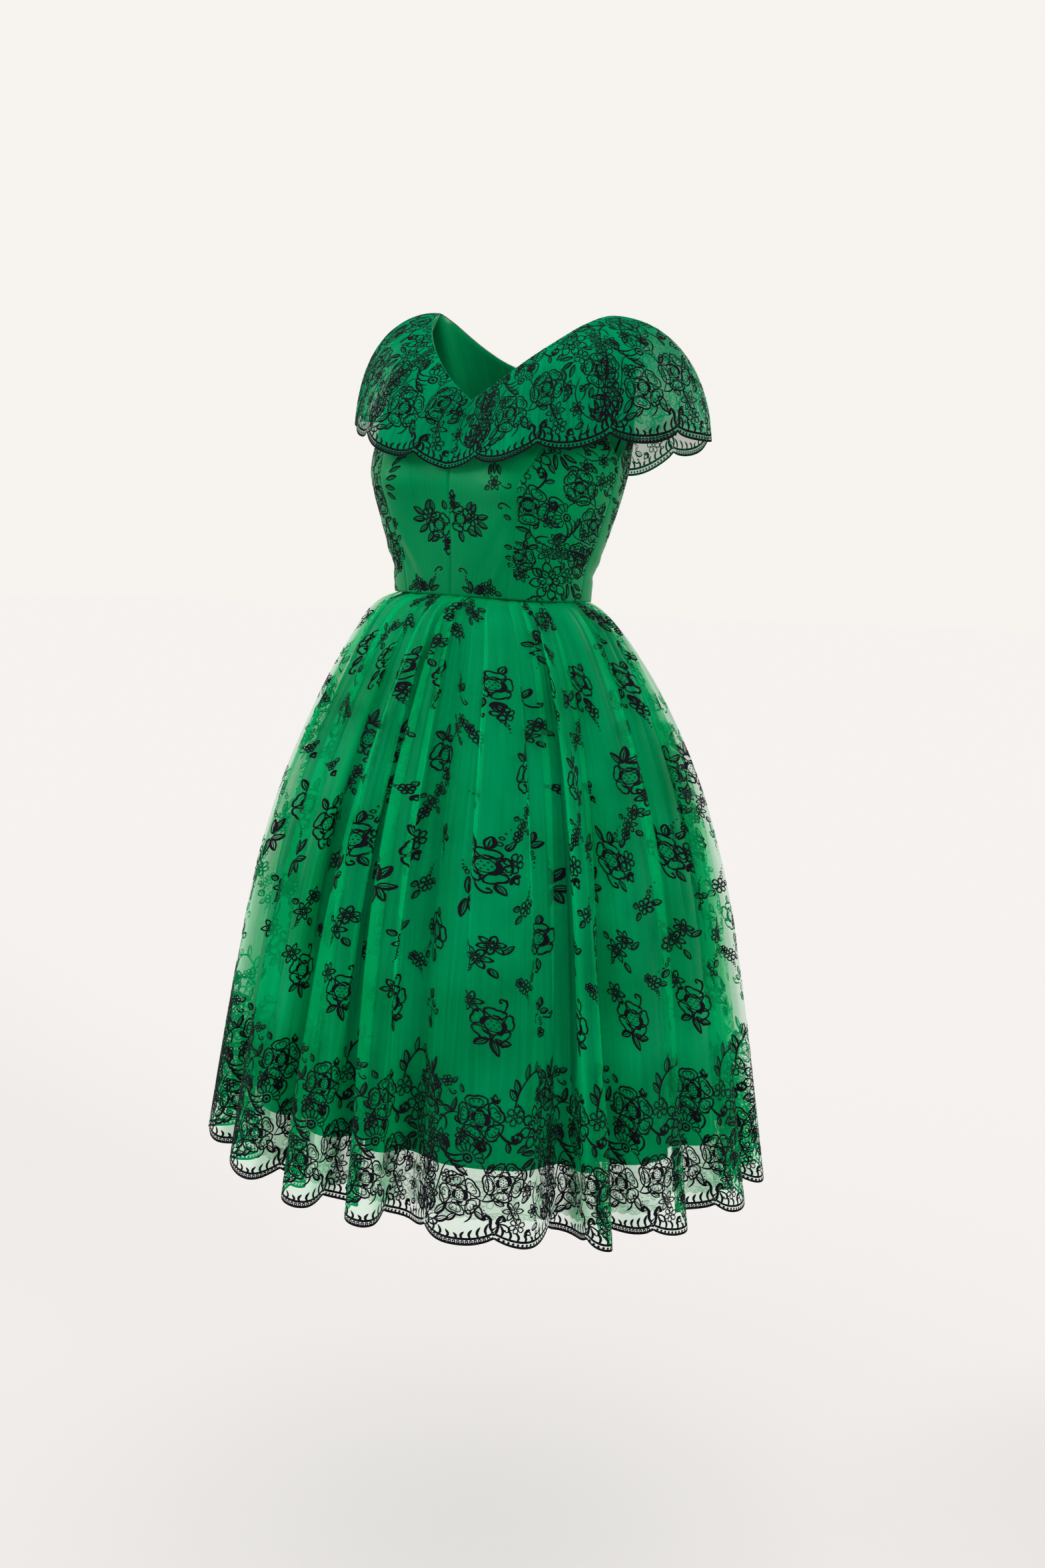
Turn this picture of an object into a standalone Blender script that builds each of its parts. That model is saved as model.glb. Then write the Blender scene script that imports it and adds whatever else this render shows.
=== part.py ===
"""A worn cocktail dress: fitted bodice, wide shawl collar, gathered sheer overskirt.

Lengths in the tables are millimetres. +Z is up, -Y is the front, +X is the wearer's left.
The origin lies midway between the tops of the shoulders, where the dress is held up.
"""

import math

import bpy
import numpy as np

MM = 0.001
WALL = 1.2  # every cloth wall
SEAM_GAP = 0.3  # between two pieces that are sewn together
RIDGE_GAP = 0.75  # from the shoulder seam to each wall's middle, as the walls lean together there
LAY = WALL + SEAM_GAP  # from one layer's middle to the middle of the layer lying on it

WAIST_Z = -323.0
BUST_Z = -188.0  # the bodice is measured in level sections up to here

# Bodice sections, from the waist to the bust. The back is rounder than the front, and each cup
# stands out by bust at bust_x from the centre.
BODICE = {
    "z": (-323.0, -303.0, -283.0, -251.0, -220.0, -188.0),
    "half_width": (122.0, 123.5, 127.0, 140.0, 150.5, 160.0),
    "front": (89.0, 89.5, 90.0, 92.0, 95.0, 98.0),
    "back": (86.0, 86.5, 88.0, 92.0, 98.0, 103.0),
    "bust": (0.0, 0.5, 1.5, 6.0, 11.5, 14.0),
    "princess_x": (70.0, 73.0, 77.0, 84.0, 92.0, 97.0),
}
BUST_X = 88.0
BUST_SPREAD = 38.0
FRONT_ROUND = 2.5  # exponent of the front sections; 2 is an ellipse
BACK_ROUND = 2.2

# Stations along the collar on the wearer's left: the neckline point, the point on the outer
# edge, how far the cloth rises past the neckline before it falls, and how square the fall is.
COLLAR = {
    "neck_x": (0.0, 30.0, 62.0, 88.0, 107.0, 119.0, 122.0, 114.0, 86.0, 45.0, 0.0),
    "neck_y": (-56.0, -51.0, -36.0, -14.0, 12.0, 35.0, 48.0, 68.0, 88.0, 98.0, 101.0),
    "neck_z": (-98.0, -77.0, -49.0, -24.0, -3.0, 9.0, 12.0, 3.0, -22.0, -44.0, -54.0),
    "edge_x": (0.0, 46.0, 95.0, 142.0, 186.0, 221.0, 242.0, 219.0, 150.0, 75.0, 0.0),
    "edge_y": (-104.0, -108.0, -112.0, -78.0, -34.0, 13.0, 62.0, 113.0, 142.0, 150.0, 153.0),
    "edge_z": (-168.0, -163.0, -151.0, -137.0, -125.0, -119.0, -112.0, -118.0, -138.0, -166.0,
               -184.0),
    "lift": (2.0, 2.0, 3.0, 4.0, 6.0, 8.0, 9.0, 7.0, 5.0, 3.0, 2.0),
    "square": (0.20, 0.25, 0.35, 0.50, 0.68, 0.80, 0.84, 0.74, 0.55, 0.40, 0.35),
}
SHOULDER_STATION = 6
COLLAR_SCALLOPS = (5, 6, 5)  # wearer's left front, back, wearer's right front
COLLAR_SCALLOP_DROP = 12.0
SCALLOP_COLUMNS = 5

# Folds pressed into the collar's right half beside the V, where the cloth is drawn together.
COLLAR_TUCKS = {
    "station": (0.35, 0.95, 1.70),
    "width": (0.22, 0.24, 0.30),
    "rise": (7.0, 5.0, 3.0),
}

# Shoulder and armhole of the bodice, from the neckline end of the shoulder seam to the
# underarm. The seam over the cup meets the shoulder at the second row.
ARMHOLE_FRONT = {
    "x": (122.0, 141.0, 158.0, 153.0, 150.0, 156.0, 166.0),
    "y": (46.0, 46.0, 45.0, 26.0, 0.0, -12.0, 0.0),
    "z": (10.0, 4.0, -5.0, -42.0, -84.0, -124.0, -152.0),
}
ARMHOLE_STOPS = np.array([0.0, 1.0, 2.0, 2.7, 3.4, 4.1, 4.8, 5.4, 6.0])
ARMHOLE_BACK = {
    "x": (122.0, 141.0, 158.0, 154.0, 151.0, 156.0, 166.0),
    "y": (46.0, 46.5, 47.0, 50.0, 50.0, 36.0, 0.0),
    "z": (10.0, 4.0, -5.0, -46.0, -90.0, -128.0, -152.0),
}

# Skirt profile: how far the cloth has dropped below the waist, the outline of the fold crests
# to the side, front and back, the height of the folds and of the fine gathers.
SKIRT = {
    "drop": (0.0, 8.0, 24.0, 55.0, 103.0, 168.0, 250.0, 350.0, 465.0, 580.0, 720.0),
    "side": (124.0, 138.0, 154.0, 174.0, 201.0, 231.0, 262.0, 289.0, 310.0, 328.0, 348.0),
    "front": (91.0, 112.0, 135.0, 161.0, 191.0, 225.0, 257.0, 285.0, 306.0, 324.0, 345.0),
    "back": (88.0, 99.0, 114.0, 142.0, 180.0, 221.0, 260.0, 290.0, 312.0, 331.0, 353.0),
    "fold": (0.5, 2.0, 3.5, 6.0, 9.5, 13.0, 16.5, 19.5, 22.0, 24.0, 26.0),
    "gather": (2.2, 2.8, 3.0, 2.4, 1.2, 0.5, 0.0, 0.0, 0.0, 0.0, 0.0),
    "to_left": (0.0, 0.0, 2.0, 5.0, 7.0, 8.0, 7.0, 6.0, 5.0, 4.0, 4.0),
}
# The large folds from the right side seam round the front to the left one and on round the
# back: the share of the ring that each takes, its height against the profile's fold height,
# how far its flanks are tucked under, and how flat its crest is.
SEAM_TURN = 16.0  # degrees by which the side seams lie behind the sides, in two troughs
FOLDS = {
    "degrees": (22, 21, 20, 15, 13, 34, 10, 23, 22,
                18, 24, 14, 33, 12, 20, 17, 26, 16),
    "height": (1.05, 1.00, 1.10, 1.15, 1.05, 1.00, 1.20, 0.90, 1.00,
               1.10, 0.95, 1.20, 0.90, 1.10, 1.00, 1.15, 0.95, 1.05),
    "tuck": (0.8, 0.8, 0.9, 1.1, 1.1, 0.1, 1.2, 0.4, 0.6,
             0.9, 0.7, 1.1, 0.5, 1.1, 0.9, 1.0, 0.7, 1.0),
    "plateau": (0.2, 0.2, 0.2, 0.1, 0.1, 0.95, 0.0, 0.7, 0.4,
                0.2, 0.4, 0.1, 0.6, 0.0, 0.2, 0.1, 0.4, 0.1),
}
FRONT_FOLDS = 9
FORMED = {  # how far the even gathers have opened into the large folds
    "drop": (0.0, 60.0, 250.0, 500.0, 720.0),
    "share": (0.0, 0.05, 0.55, 0.95, 1.0),
}
GATHERS = 50
SKIRT_SCALLOPS = 40
SKIRT_SCALLOP_DROP = 11.0
HEM_SHIFT = 0.4  # scallops by which the hem's first cusp lies past the side seam
HEM_Z = -977.0  # cusps of the scallops before the lean below is added
UNDER_HEM_Z = -918.0
LACE_DEPTH = 52.0
UNDER_STOPS = np.arange(6) / 6.0  # the underskirt's columns across each fold
UNDER_DEPTH = 0.5  # the underskirt's folds against the overskirt's
UNDER_INSET = 5.0  # clear space between the two skirts in the troughs of the folds
GATHER_INSET = 3.0  # more of it under the gathers at the waist
UNDER_START = 6.0  # the underskirt's top lies this far below the waist seam
SAME = 1e-6  # shares of the cloth this close are one place

# The worn dress leans a little: how far each level drops for each millimetre to the wearer's
# left and to the back.
LEAN = {
    "z": (-1000.0, -323.0, -180.0, 0.0),
    "left": (-0.08, -0.03, -0.07, -0.07),
    "back": (-0.02, 0.0, 0.0, 0.0),
}

SKIRT_ROWS = (0.0, 0.012, 0.04, 0.09, 0.17, 0.30, 0.46, 0.64, 0.83, 1.0)
UNDER_ROWS = (0.0, 0.05, 0.16, 0.36, 0.66, 1.0)
LACE_ROWS = (0.0, 1.0)
COLLAR_ROWS = (0.0, 0.13, 0.30, 0.50, 0.72, 1.0)
BODICE_ROWS = (-323.0, -303.0, -283.0, -251.0, -220.0, -188.0)
YOKE_ROWS = (0.0, 0.34, 0.68, 1.0)  # from the bust section up to the neck and armhole

PLACKET_WIDTH = 16.0
PLACKET_RAISE = 0.2  # share of the first row by which it starts above the waist seam

ORGANZA = (0.02, 0.36, 0.14, 1.0)
TAFFETA = (0.01, 0.30, 0.09, 1.0)
BODICE_GREEN = (0.01, 0.42, 0.14, 1.0)
LACE = (0.62, 0.72, 0.66, 1.0)


def smooth(at, xs, ys):
    """Cubic curve through a table's points that never overshoots them."""
    x, y, at = np.asarray(xs, float), np.asarray(ys, float), np.asarray(at, float)
    step = np.diff(x)
    slope = np.diff(y) / step
    inner = np.zeros(len(x))
    same = slope[:-1] * slope[1:] > 0
    w1, w2 = 2 * step[1:] + step[:-1], step[1:] + 2 * step[:-1]
    with np.errstate(divide="ignore", invalid="ignore"):
        mean = (w1 + w2) / (w1 / slope[:-1] + w2 / slope[1:])
    inner[1:-1] = np.where(same, mean, 0.0)
    inner[0], inner[-1] = slope[0], slope[-1]
    k = np.clip(np.searchsorted(x, at, side="right") - 1, 0, len(x) - 2)
    h = step[k]
    t = np.clip((at - x[k]) / h, 0.0, 1.0)
    return (
        (1 + 2 * t) * (1 - t) ** 2 * y[k]
        + t * (1 - t) ** 2 * h * inner[k]
        + t**2 * (3 - 2 * t) * y[k + 1]
        + t**2 * (t - 1) * h * inner[k + 1]
    )


def read(table, key, column, at):
    """Value of a table's column where its key column has the value at."""
    return smooth(at, table[key], table[column])


def lean(points):
    """Lowers each point for the slight lean of the worn dress."""
    p = np.array(points, float)
    left = np.interp(p[..., 2], LEAN["z"], LEAN["left"])
    back = np.interp(p[..., 2], LEAN["z"], LEAN["back"])
    p[..., 2] += left * p[..., 0] + back * p[..., 1]
    return p


def torso(turn, z, out=0.0):
    """Bodice section: turn is 0 at the centre front, 90 at the left side, 180 at the back."""
    turn, z = np.broadcast_arrays(np.radians(turn), z)
    s, c = np.sin(turn), np.cos(turn)
    in_front = c > 0
    power = np.where(in_front, 2 / FRONT_ROUND, 2 / BACK_ROUND)
    half = read(BODICE, "z", "half_width", z)
    reach = np.where(in_front, read(BODICE, "z", "front", z), read(BODICE, "z", "back", z))
    x = half * np.sign(s) * np.abs(s) ** power
    y = -reach * np.sign(c) * np.abs(c) ** power
    cup = np.exp(-(((np.abs(x) - BUST_X) / BUST_SPREAD) ** 2)) * np.clip(c * 2, 0, 1)
    y = y - read(BODICE, "z", "bust", z) * cup
    flat = np.hypot(x, y)
    grow = (flat + out) / flat
    return np.stack([x * grow, y * grow, z + 0.0 * x], axis=-1)


def princess_turn(z):
    """Where the seam over the cup crosses a bodice section, as a turn in degrees."""
    share = read(BODICE, "z", "princess_x", z) / read(BODICE, "z", "half_width", z)
    return np.degrees(np.arcsin(share ** (FRONT_ROUND / 2)))


def collar_point(station, across, side=1):
    """Point on the collar: across is 0 at the neckline and 1 at the outer edge."""
    station, across = np.broadcast_arrays(np.asarray(station, float), across)
    rows = np.arange(len(COLLAR["neck_x"]))

    def column(name):
        return smooth(station, rows, COLLAR[name])[..., None]

    neck = np.concatenate([column("neck_x"), column("neck_y"), column("neck_z")], axis=-1)
    edge = np.concatenate([column("edge_x"), column("edge_y"), column("edge_z")], axis=-1)
    square, lift = column("square"), column("lift")
    run = edge - neck
    first = neck + run * np.array([0.5, 0.5, 0.0]) * (0.4 + 0.6 * square)
    first[..., 2:] += run[..., 2:] * 0.33 * (1 - square) + lift
    second = neck + run * np.array([1.0, 1.0, 0.0]) * (0.67 + 0.35 * square)
    second[..., 2:] += run[..., 2:] * (0.67 - 0.5 * square)
    w = across[..., None]
    p = (
        (1 - w) ** 3 * neck
        + 3 * w * (1 - w) ** 2 * first
        + 3 * w**2 * (1 - w) * second
        + w**3 * edge
    )
    if side < 0:
        rise = np.zeros_like(station)
        for at, width, height in zip(*COLLAR_TUCKS.values()):
            rise = rise + height * np.exp(-(((station - at) / width) ** 2))
        ramp = np.sin(np.pi * np.clip(0.12 + 0.80 * across, 0, 1))
        p[..., 1] -= rise * ramp
        p[..., 2] += 0.25 * rise * ramp
    p[..., 0] *= side
    return p


def collar_out(station, side=1):
    """Outward direction of the collar where it is sewn to the neckline."""
    step = 0.02
    stations = np.asarray(station, float)
    low = np.clip(stations - step, 0, len(COLLAR["neck_x"]) - 1)
    high = np.clip(stations + step, 0, len(COLLAR["neck_x"]) - 1)
    along = collar_point(high, 0.0) - collar_point(low, 0.0)
    down = collar_point(stations, 0.06) - collar_point(stations, 0.0)
    out = np.cross(down, along)
    out /= np.linalg.norm(out, axis=-1, keepdims=True)
    out[..., 0] *= side
    return out


def neckline(station, side=1):
    """Edge of the bodice under the collar's neckline seam."""
    edge = collar_point(station, 0.0)
    edge[..., 0] *= side
    return edge - LAY * collar_out(station, side)


def fold_places():
    """Each fold's start on the ring in degrees and its start along the cloth, as shares."""
    degrees = np.array(FOLDS["degrees"], float)
    ring = np.concatenate([[0.0], np.cumsum(degrees)])
    ring *= 360.0 / ring[-1]
    hem_drop = WAIST_Z - HEM_Z
    middle = read(SKIRT, "drop", "side", hem_drop) - read(SKIRT, "drop", "fold", hem_drop)
    t = np.linspace(0.0, 1.0, 65)
    lengths = [
        fold_length(t, math.radians(wide) * middle, *shape)[-1]
        for wide, *shape in zip(*FOLDS.values())
    ]
    front, back = np.cumsum(lengths[:FRONT_FOLDS]), np.cumsum(lengths[FRONT_FOLDS:])
    cloth = np.concatenate([[0.0], front / front[-1] / 2, 0.5 + back / back[-1] / 2])
    return ring, cloth, sum(lengths)


def fold_shape(t, height, tuck, plateau):
    """Sideways place and rise of one fold, for t from trough to trough."""
    phase = 2 * np.pi * t + plateau * np.sin(2 * np.pi * t)
    along = t + tuck * np.sin(4 * np.pi * t) / (4 * np.pi)
    return along, height * (1 - np.cos(phase)) - 1


def fold_length(t, wide, height, tuck, plateau):
    """Length of cloth from the fold's first trough to each t, at the hem."""
    deep = read(SKIRT, "drop", "fold", WAIST_Z - HEM_Z)
    along, rise = fold_shape(t, height, tuck, plateau)
    steps = np.hypot(np.diff(along * wide), np.diff(rise * deep))
    return np.concatenate([[0.0], np.cumsum(steps)])


def even_fold(cloth_share, size):
    """The t at which a share of the fold's cloth has been used."""
    t = np.linspace(0.0, 1.0, 129)
    used = fold_length(t, *size)
    return np.interp(cloth_share, used / used[-1], t)


RING, CLOTH, FLAT_WIDTH = fold_places()


def fold_size(k):
    """Width in millimetres at the hem of one fold, then its height, tuck and plateau."""
    hem_drop = WAIST_Z - HEM_Z
    middle = read(SKIRT, "drop", "side", hem_drop) - read(SKIRT, "drop", "fold", hem_drop)
    wide = math.radians(RING[k + 1] - RING[k]) * middle
    return wide, FOLDS["height"][k], FOLDS["tuck"][k], FOLDS["plateau"][k]


def fold_at(share, drop, depth):
    """Ring angle in degrees from the right side seam, and fold rise from -1 at a trough."""
    formed = smooth(drop, FORMED["drop"], FORMED["share"])
    angle, rise = np.zeros_like(share), np.zeros_like(share)
    for k in range(len(CLOTH) - 1):
        here = (share >= CLOTH[k]) & ((share < CLOTH[k + 1]) | (k == len(CLOTH) - 2))
        within = np.clip((share - CLOTH[k]) / (CLOTH[k + 1] - CLOTH[k]), 0, 1)
        wide, height, tuck, plateau = fold_size(k)
        t = within * (1 - formed) + even_fold(within, fold_size(k)) * formed
        along, up = fold_shape(t, height, tuck * formed * depth, plateau * formed)
        angle = np.where(here, RING[k] + (RING[k + 1] - RING[k]) * along, angle)
        rise = np.where(here, up, rise)
    return angle, rise


def fold_stops(stops):
    """Shares of the cloth at the same places across every fold, with the last end."""
    shares = []
    for k in range(len(CLOTH) - 1):
        used = fold_length(np.concatenate([stops, [1.0]]), *fold_size(k))
        shares.append(CLOTH[k] + (CLOTH[k + 1] - CLOTH[k]) * used[:-1] / used[-1])
    return np.concatenate([*shares, [1.0]])


def skirt_point(share, drop, depth=1.0, inset=0.0, gathered=1.0):
    """Point on a skirt layer; share runs along the cloth from the right side seam.

    The depth of its folds is a share of the overskirt's, and the inset is its clear space.
    """
    share, drop = np.broadcast_arrays(np.asarray(share, float), np.asarray(drop, float))
    angle, rise = fold_at(share, drop, depth)
    turn = np.radians(angle - 180.0 + SEAM_TURN)
    c, s = np.cos(turn), np.sin(turn)
    side = read(SKIRT, "drop", "side", drop)
    reach = np.where(s < 0, read(SKIRT, "drop", "front", drop), read(SKIRT, "drop", "back", drop))
    crest = side * reach / np.hypot(reach * c, side * s)
    fold = read(SKIRT, "drop", "fold", drop)
    gather = gathered * read(SKIRT, "drop", "gather", drop)
    middle = crest - fold - fold * (1 - depth) - inset
    r = middle + depth * fold * rise + gather * np.sin(2 * np.pi * GATHERS * share)
    x = r * c + read(SKIRT, "drop", "to_left", drop)
    return np.stack([x, r * s, WAIST_Z - drop], axis=-1)


def scallop(share, count, drop, shift=0.0):
    """How far the edge hangs below its cusps."""
    within = np.mod(share * count - shift, 1.0)
    return drop * np.sin(np.pi * within) ** 0.7


def draw_in(grid, ends, by):
    """Moves a panel's first or last column along its rows to open the seam."""
    for end, inner in ((0, 1), (-1, -2)):
        if end in ends:
            along = grid[:, inner] - grid[:, end]
            grid[:, end] += by * along / np.linalg.norm(along, axis=-1, keepdims=True)
    return grid


def make_piece(name, grid, colour, rough, collection):
    """A cloth wall on a grid of points given row by row in millimetres."""
    points = lean(grid)
    rows, cols = points.shape[:2]
    faces = [
        (r * cols + c, r * cols + c + 1, (r + 1) * cols + c + 1, (r + 1) * cols + c)
        for r in range(rows - 1)
        for c in range(cols - 1)
    ]
    mesh = bpy.data.meshes.new(name)
    mesh.from_pydata([tuple(p) for p in points.reshape(-1, 3) * MM], [], faces)
    mesh.update()
    obj = bpy.data.objects.new(name, mesh)
    collection.objects.link(obj)
    wall = obj.modifiers.new("wall", "SOLIDIFY")
    wall.thickness = WALL * MM
    wall.offset = 0.0
    material = bpy.data.materials.new(name + "_cloth")
    material.use_nodes = True
    shader = material.node_tree.nodes["Principled BSDF"]
    shader.inputs["Base Color"].default_value = colour
    shader.inputs["Roughness"].default_value = rough
    mesh.materials.append(material)
    return obj


def yoke(section, top):
    """Rows from the bust section up to the neck, shoulder and armhole edges."""
    rows = []
    for share in YOKE_ROWS[1:]:
        row = section * (1 - share) + top * share
        swell = 7.0 * math.sin(math.pi * share)
        outward = row * np.array([1.0, 1.0, 0.0])
        outward /= np.linalg.norm(outward, axis=-1, keepdims=True)
        height = np.clip((top[:, 2] - section[:, 2]) / 120.0, 0, 1)[:, None]
        rows.append(row + outward * swell * height)
    return rows


def armhole(table, at, side):
    """Points along the shoulder and armhole at given rows of its table."""
    rows = np.arange(len(table["x"]))
    p = np.stack([smooth(at, rows, table[k]) for k in ("x", "y", "z")], axis=-1)
    p[:, 0] *= side
    return p


def turn_margin():
    """Half a seam gap as a turn of the bodice section."""
    return math.degrees(SEAM_GAP / 2 / 95.0)


def back_grid(side):
    """Back panel of one side, rows from the waist up, columns from side seam to centre."""
    count = 13
    gap = turn_margin()
    grid = []
    for z in bodice_levels():
        turns = np.linspace(90.0 + gap, 180.0 - gap, count)
        grid.append(torso(turns, z) * np.array([side, 1.0, 1.0]))
    edge = armhole(ARMHOLE_BACK, ARMHOLE_STOPS[::-1], side)
    last = len(COLLAR["neck_x"]) - 1
    neck = neckline(np.linspace(SHOULDER_STATION, last, count - len(edge) + 1), side)[1:]
    edge[0, 1] += SEAM_GAP
    edge[1:, 1] += RIDGE_GAP
    top = np.concatenate([edge, neck])
    grid += yoke(grid[-1], top)
    grid = np.array(grid)
    grid[:, -1, 0] = side * SEAM_GAP / 2
    return grid


def centre_front_grid(side):
    """Centre front panel of one side, columns from the centre to the seam over the cup."""
    count = 9
    gap = turn_margin()
    grid = []
    for z in bodice_levels():
        turns = np.linspace(gap, princess_turn(z) - gap, count)
        grid.append(torso(turns, z) * np.array([side, 1.0, 1.0]))
    neck = neckline(np.linspace(0.0, SHOULDER_STATION, count - 1), side)[:-1]
    shoulder = armhole(ARMHOLE_FRONT, ARMHOLE_STOPS[:2], side)
    shoulder[1, 0] -= side * SEAM_GAP / 2
    shoulder[:, 1] -= RIDGE_GAP
    top = np.concatenate([neck, shoulder])
    grid += yoke(grid[-1], top)
    grid = np.array(grid)
    grid[:, 0, 0] = side * SEAM_GAP / 2
    return grid


def side_front_grid(side):
    """Side front panel, columns from the seam over the cup to the side seam."""
    stops = ARMHOLE_STOPS[1:]
    gap = turn_margin()
    grid = []
    for z in bodice_levels():
        turns = np.linspace(princess_turn(z) + gap, 90.0 - gap, len(stops))
        grid.append(torso(turns, z) * np.array([side, 1.0, 1.0]))
    top = armhole(ARMHOLE_FRONT, stops, side)
    top[0, 0] += side * SEAM_GAP / 2
    top[:2, 1] -= RIDGE_GAP
    top[-1, 1] -= SEAM_GAP
    grid += yoke(grid[-1], top)
    return np.array(grid)


def bodice_levels():
    """Heights of the bodice's level sections."""
    levels = np.array(BODICE_ROWS)
    levels[0] += SEAM_GAP
    return levels


def bodice_pieces(collection):
    """Two centre fronts, two side fronts and two backs."""
    for side, word in ((1, "left"), (-1, "right")):
        for name, grid in (
            ("bodice_centre_front", centre_front_grid(side)),
            ("bodice_side_front", side_front_grid(side)),
            ("bodice_back", back_grid(side)),
        ):
            make_piece(f"{name}_{word}", grid[:, ::side], BODICE_GREEN, 0.45, collection)


def placket_piece(collection):
    """The lapped strip over the closed opening in the centre back, moved out from the back."""
    grid = []
    half = PLACKET_WIDTH / 2
    left, right = back_grid(1)[:-1], back_grid(-1)[:-1]
    for panel in (left, right):
        panel[0] += (panel[1] - panel[0]) * PLACKET_RAISE
    for near, far in zip(left, right):
        ends = []
        for row, side in ((near, 1), (far, -1)):
            reach = np.abs(row[::-1, 0])
            ends.append([side * half] + [np.interp(half, reach, row[::-1, k]) for k in (1, 2)])
        middle = (near[-1] + far[-1]) / 2
        grid.append([ends[0], middle, ends[1]])
    grid = np.array(grid)
    rise = np.gradient(grid, axis=0)
    out = np.stack([0 * rise[..., 0], rise[..., 2], -rise[..., 1]], axis=-1)
    out /= np.linalg.norm(out, axis=-1, keepdims=True)
    make_piece("back_placket", grid + LAY * 1.1 * out, BODICE_GREEN, 0.45, collection)


def collar_pieces(collection):
    """The collar's two fronts, sewn at the centre front, and its back."""
    last = len(COLLAR["neck_x"]) - 1
    left, back, right = COLLAR_SCALLOPS
    apart = 0.75 * SEAM_GAP

    def rows_of(stations, sides, count):
        share = np.linspace(0.0, 1.0, len(stations))
        drop = scallop(share, count, COLLAR_SCALLOP_DROP)
        grid = []
        for across in COLLAR_ROWS:
            row = np.array([
                collar_point(station, across, side) for station, side in zip(stations, sides)
            ])
            row[:, 2] -= drop * across**3
            grid.append(row)
        return np.array(grid)

    for side, word, count in ((1, "left", left), (-1, "right", right)):
        stations = np.linspace(0.0, SHOULDER_STATION, count * SCALLOP_COLUMNS + 1)
        grid = draw_in(rows_of(stations, [side] * len(stations), count), (-1,), apart)
        grid[:, 0, 0] = side * apart
        make_piece(f"collar_front_{word}", grid[::side], ORGANZA, 0.5, collection)

    half = back * SCALLOP_COLUMNS // 2
    stations = np.linspace(SHOULDER_STATION, last, half + 1)
    stations = np.concatenate([stations, stations[-2::-1]])
    sides = [1] * (half + 1) + [-1] * half
    grid = draw_in(rows_of(stations, sides, back), (0, -1), apart)
    make_piece("collar_back", grid, ORGANZA, 0.5, collection)


def overskirt_rows(share):
    """Rows of the overskirt, down to its scalloped hem."""
    start = SEAM_GAP + WALL * 0.7  # the flared wall leans up into the seam
    rows = []
    for v in SKIRT_ROWS:
        drop = start + v * (WAIST_Z - HEM_Z - start)
        edge = scallop(share, SKIRT_SCALLOPS, SKIRT_SCALLOP_DROP, HEM_SHIFT) * v**6
        rows.append(skirt_point(share, drop + edge))
    return rows


def underskirt_rows(share):
    """Rows of the underskirt, which is set in more under the gathers."""
    rows = []
    for v in UNDER_ROWS:
        drop = UNDER_START + v * (WAIST_Z - UNDER_HEM_Z - UNDER_START)
        inset = UNDER_INSET + GATHER_INSET * (1 - v) ** 4
        rows.append(skirt_point(share, drop, UNDER_DEPTH, inset, 0.0))
    return rows


def lace_rows(share):
    """Rows of the lace sewn on below the underskirt's hem."""
    top = WAIST_Z - UNDER_HEM_Z + SEAM_GAP
    return [
        skirt_point(share, top + v * LACE_DEPTH, UNDER_DEPTH, UNDER_INSET, 0.0) for v in LACE_ROWS
    ]


def skirt_pieces(collection):
    """Front and back of the overskirt, the underskirt and the lace edging."""
    over = np.linspace(0.0, 1.0, SKIRT_SCALLOPS * SCALLOP_COLUMNS + 1)
    under = fold_stops(UNDER_STOPS)
    layers = (
        ("overskirt", overskirt_rows, over, ORGANZA, 0.5),
        ("underskirt", underskirt_rows, under, TAFFETA, 0.35),
        ("lace_edging", lace_rows, under, LACE, 0.7),
    )
    for name, rows, stops, colour, rough in layers:
        for word, half in (("front", stops <= 0.5 + SAME), ("back", stops >= 0.5 - SAME)):
            grid = draw_in(np.array(rows(stops[half])), (0, -1), SEAM_GAP)
            make_piece(f"{name}_{word}", grid, colour, rough, collection)


def main():
    """Clears the scene and builds the dress in its own collection."""
    for obj in list(bpy.data.objects):
        bpy.data.objects.remove(obj)
    collection = bpy.data.collections.new("cocktail_dress")
    bpy.context.scene.collection.children.link(collection)
    bodice_pieces(collection)
    placket_piece(collection)
    collar_pieces(collection)
    skirt_pieces(collection)


main()
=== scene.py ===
"""Looks of a worn cocktail dress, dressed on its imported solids.

A dark flocked flower print lies on sheer green organza. The collar and the overskirt are the
organza alone; the bodice is organza laid on taffeta; the underskirt is taffeta edged with lace.
Lengths are millimetres until a mesh is made. +Z is up, -Y the front, +X the wearer's left.
"""

import logging
import math
from dataclasses import dataclass
from enum import Enum
from functools import cached_property
from typing import Any, Callable, Sequence

import bpy
import numpy as np
from mathutils import Matrix


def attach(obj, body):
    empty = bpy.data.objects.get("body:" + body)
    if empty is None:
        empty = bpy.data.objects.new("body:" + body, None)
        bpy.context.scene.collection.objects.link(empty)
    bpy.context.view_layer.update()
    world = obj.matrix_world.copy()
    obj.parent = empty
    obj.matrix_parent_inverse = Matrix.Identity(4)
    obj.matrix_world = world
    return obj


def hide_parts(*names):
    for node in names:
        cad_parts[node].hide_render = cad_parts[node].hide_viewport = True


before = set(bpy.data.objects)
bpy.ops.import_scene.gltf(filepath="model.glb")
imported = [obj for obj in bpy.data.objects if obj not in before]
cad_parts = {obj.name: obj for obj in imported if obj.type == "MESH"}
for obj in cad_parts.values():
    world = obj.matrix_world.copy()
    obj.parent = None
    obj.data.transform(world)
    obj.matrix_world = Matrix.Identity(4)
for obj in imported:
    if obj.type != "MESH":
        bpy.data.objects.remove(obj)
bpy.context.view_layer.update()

MM = 0.001
LOG = logging.getLogger("cocktail_dress")
CLOTH_MAP = "cloth"  # name of the map that gives each place on a cloth in metres
COVER = "cover"  # name of the share that a sheer cloth's threads cover
Array = np.ndarray
Pair = tuple[float, float]
Points = Sequence[Pair]
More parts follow.
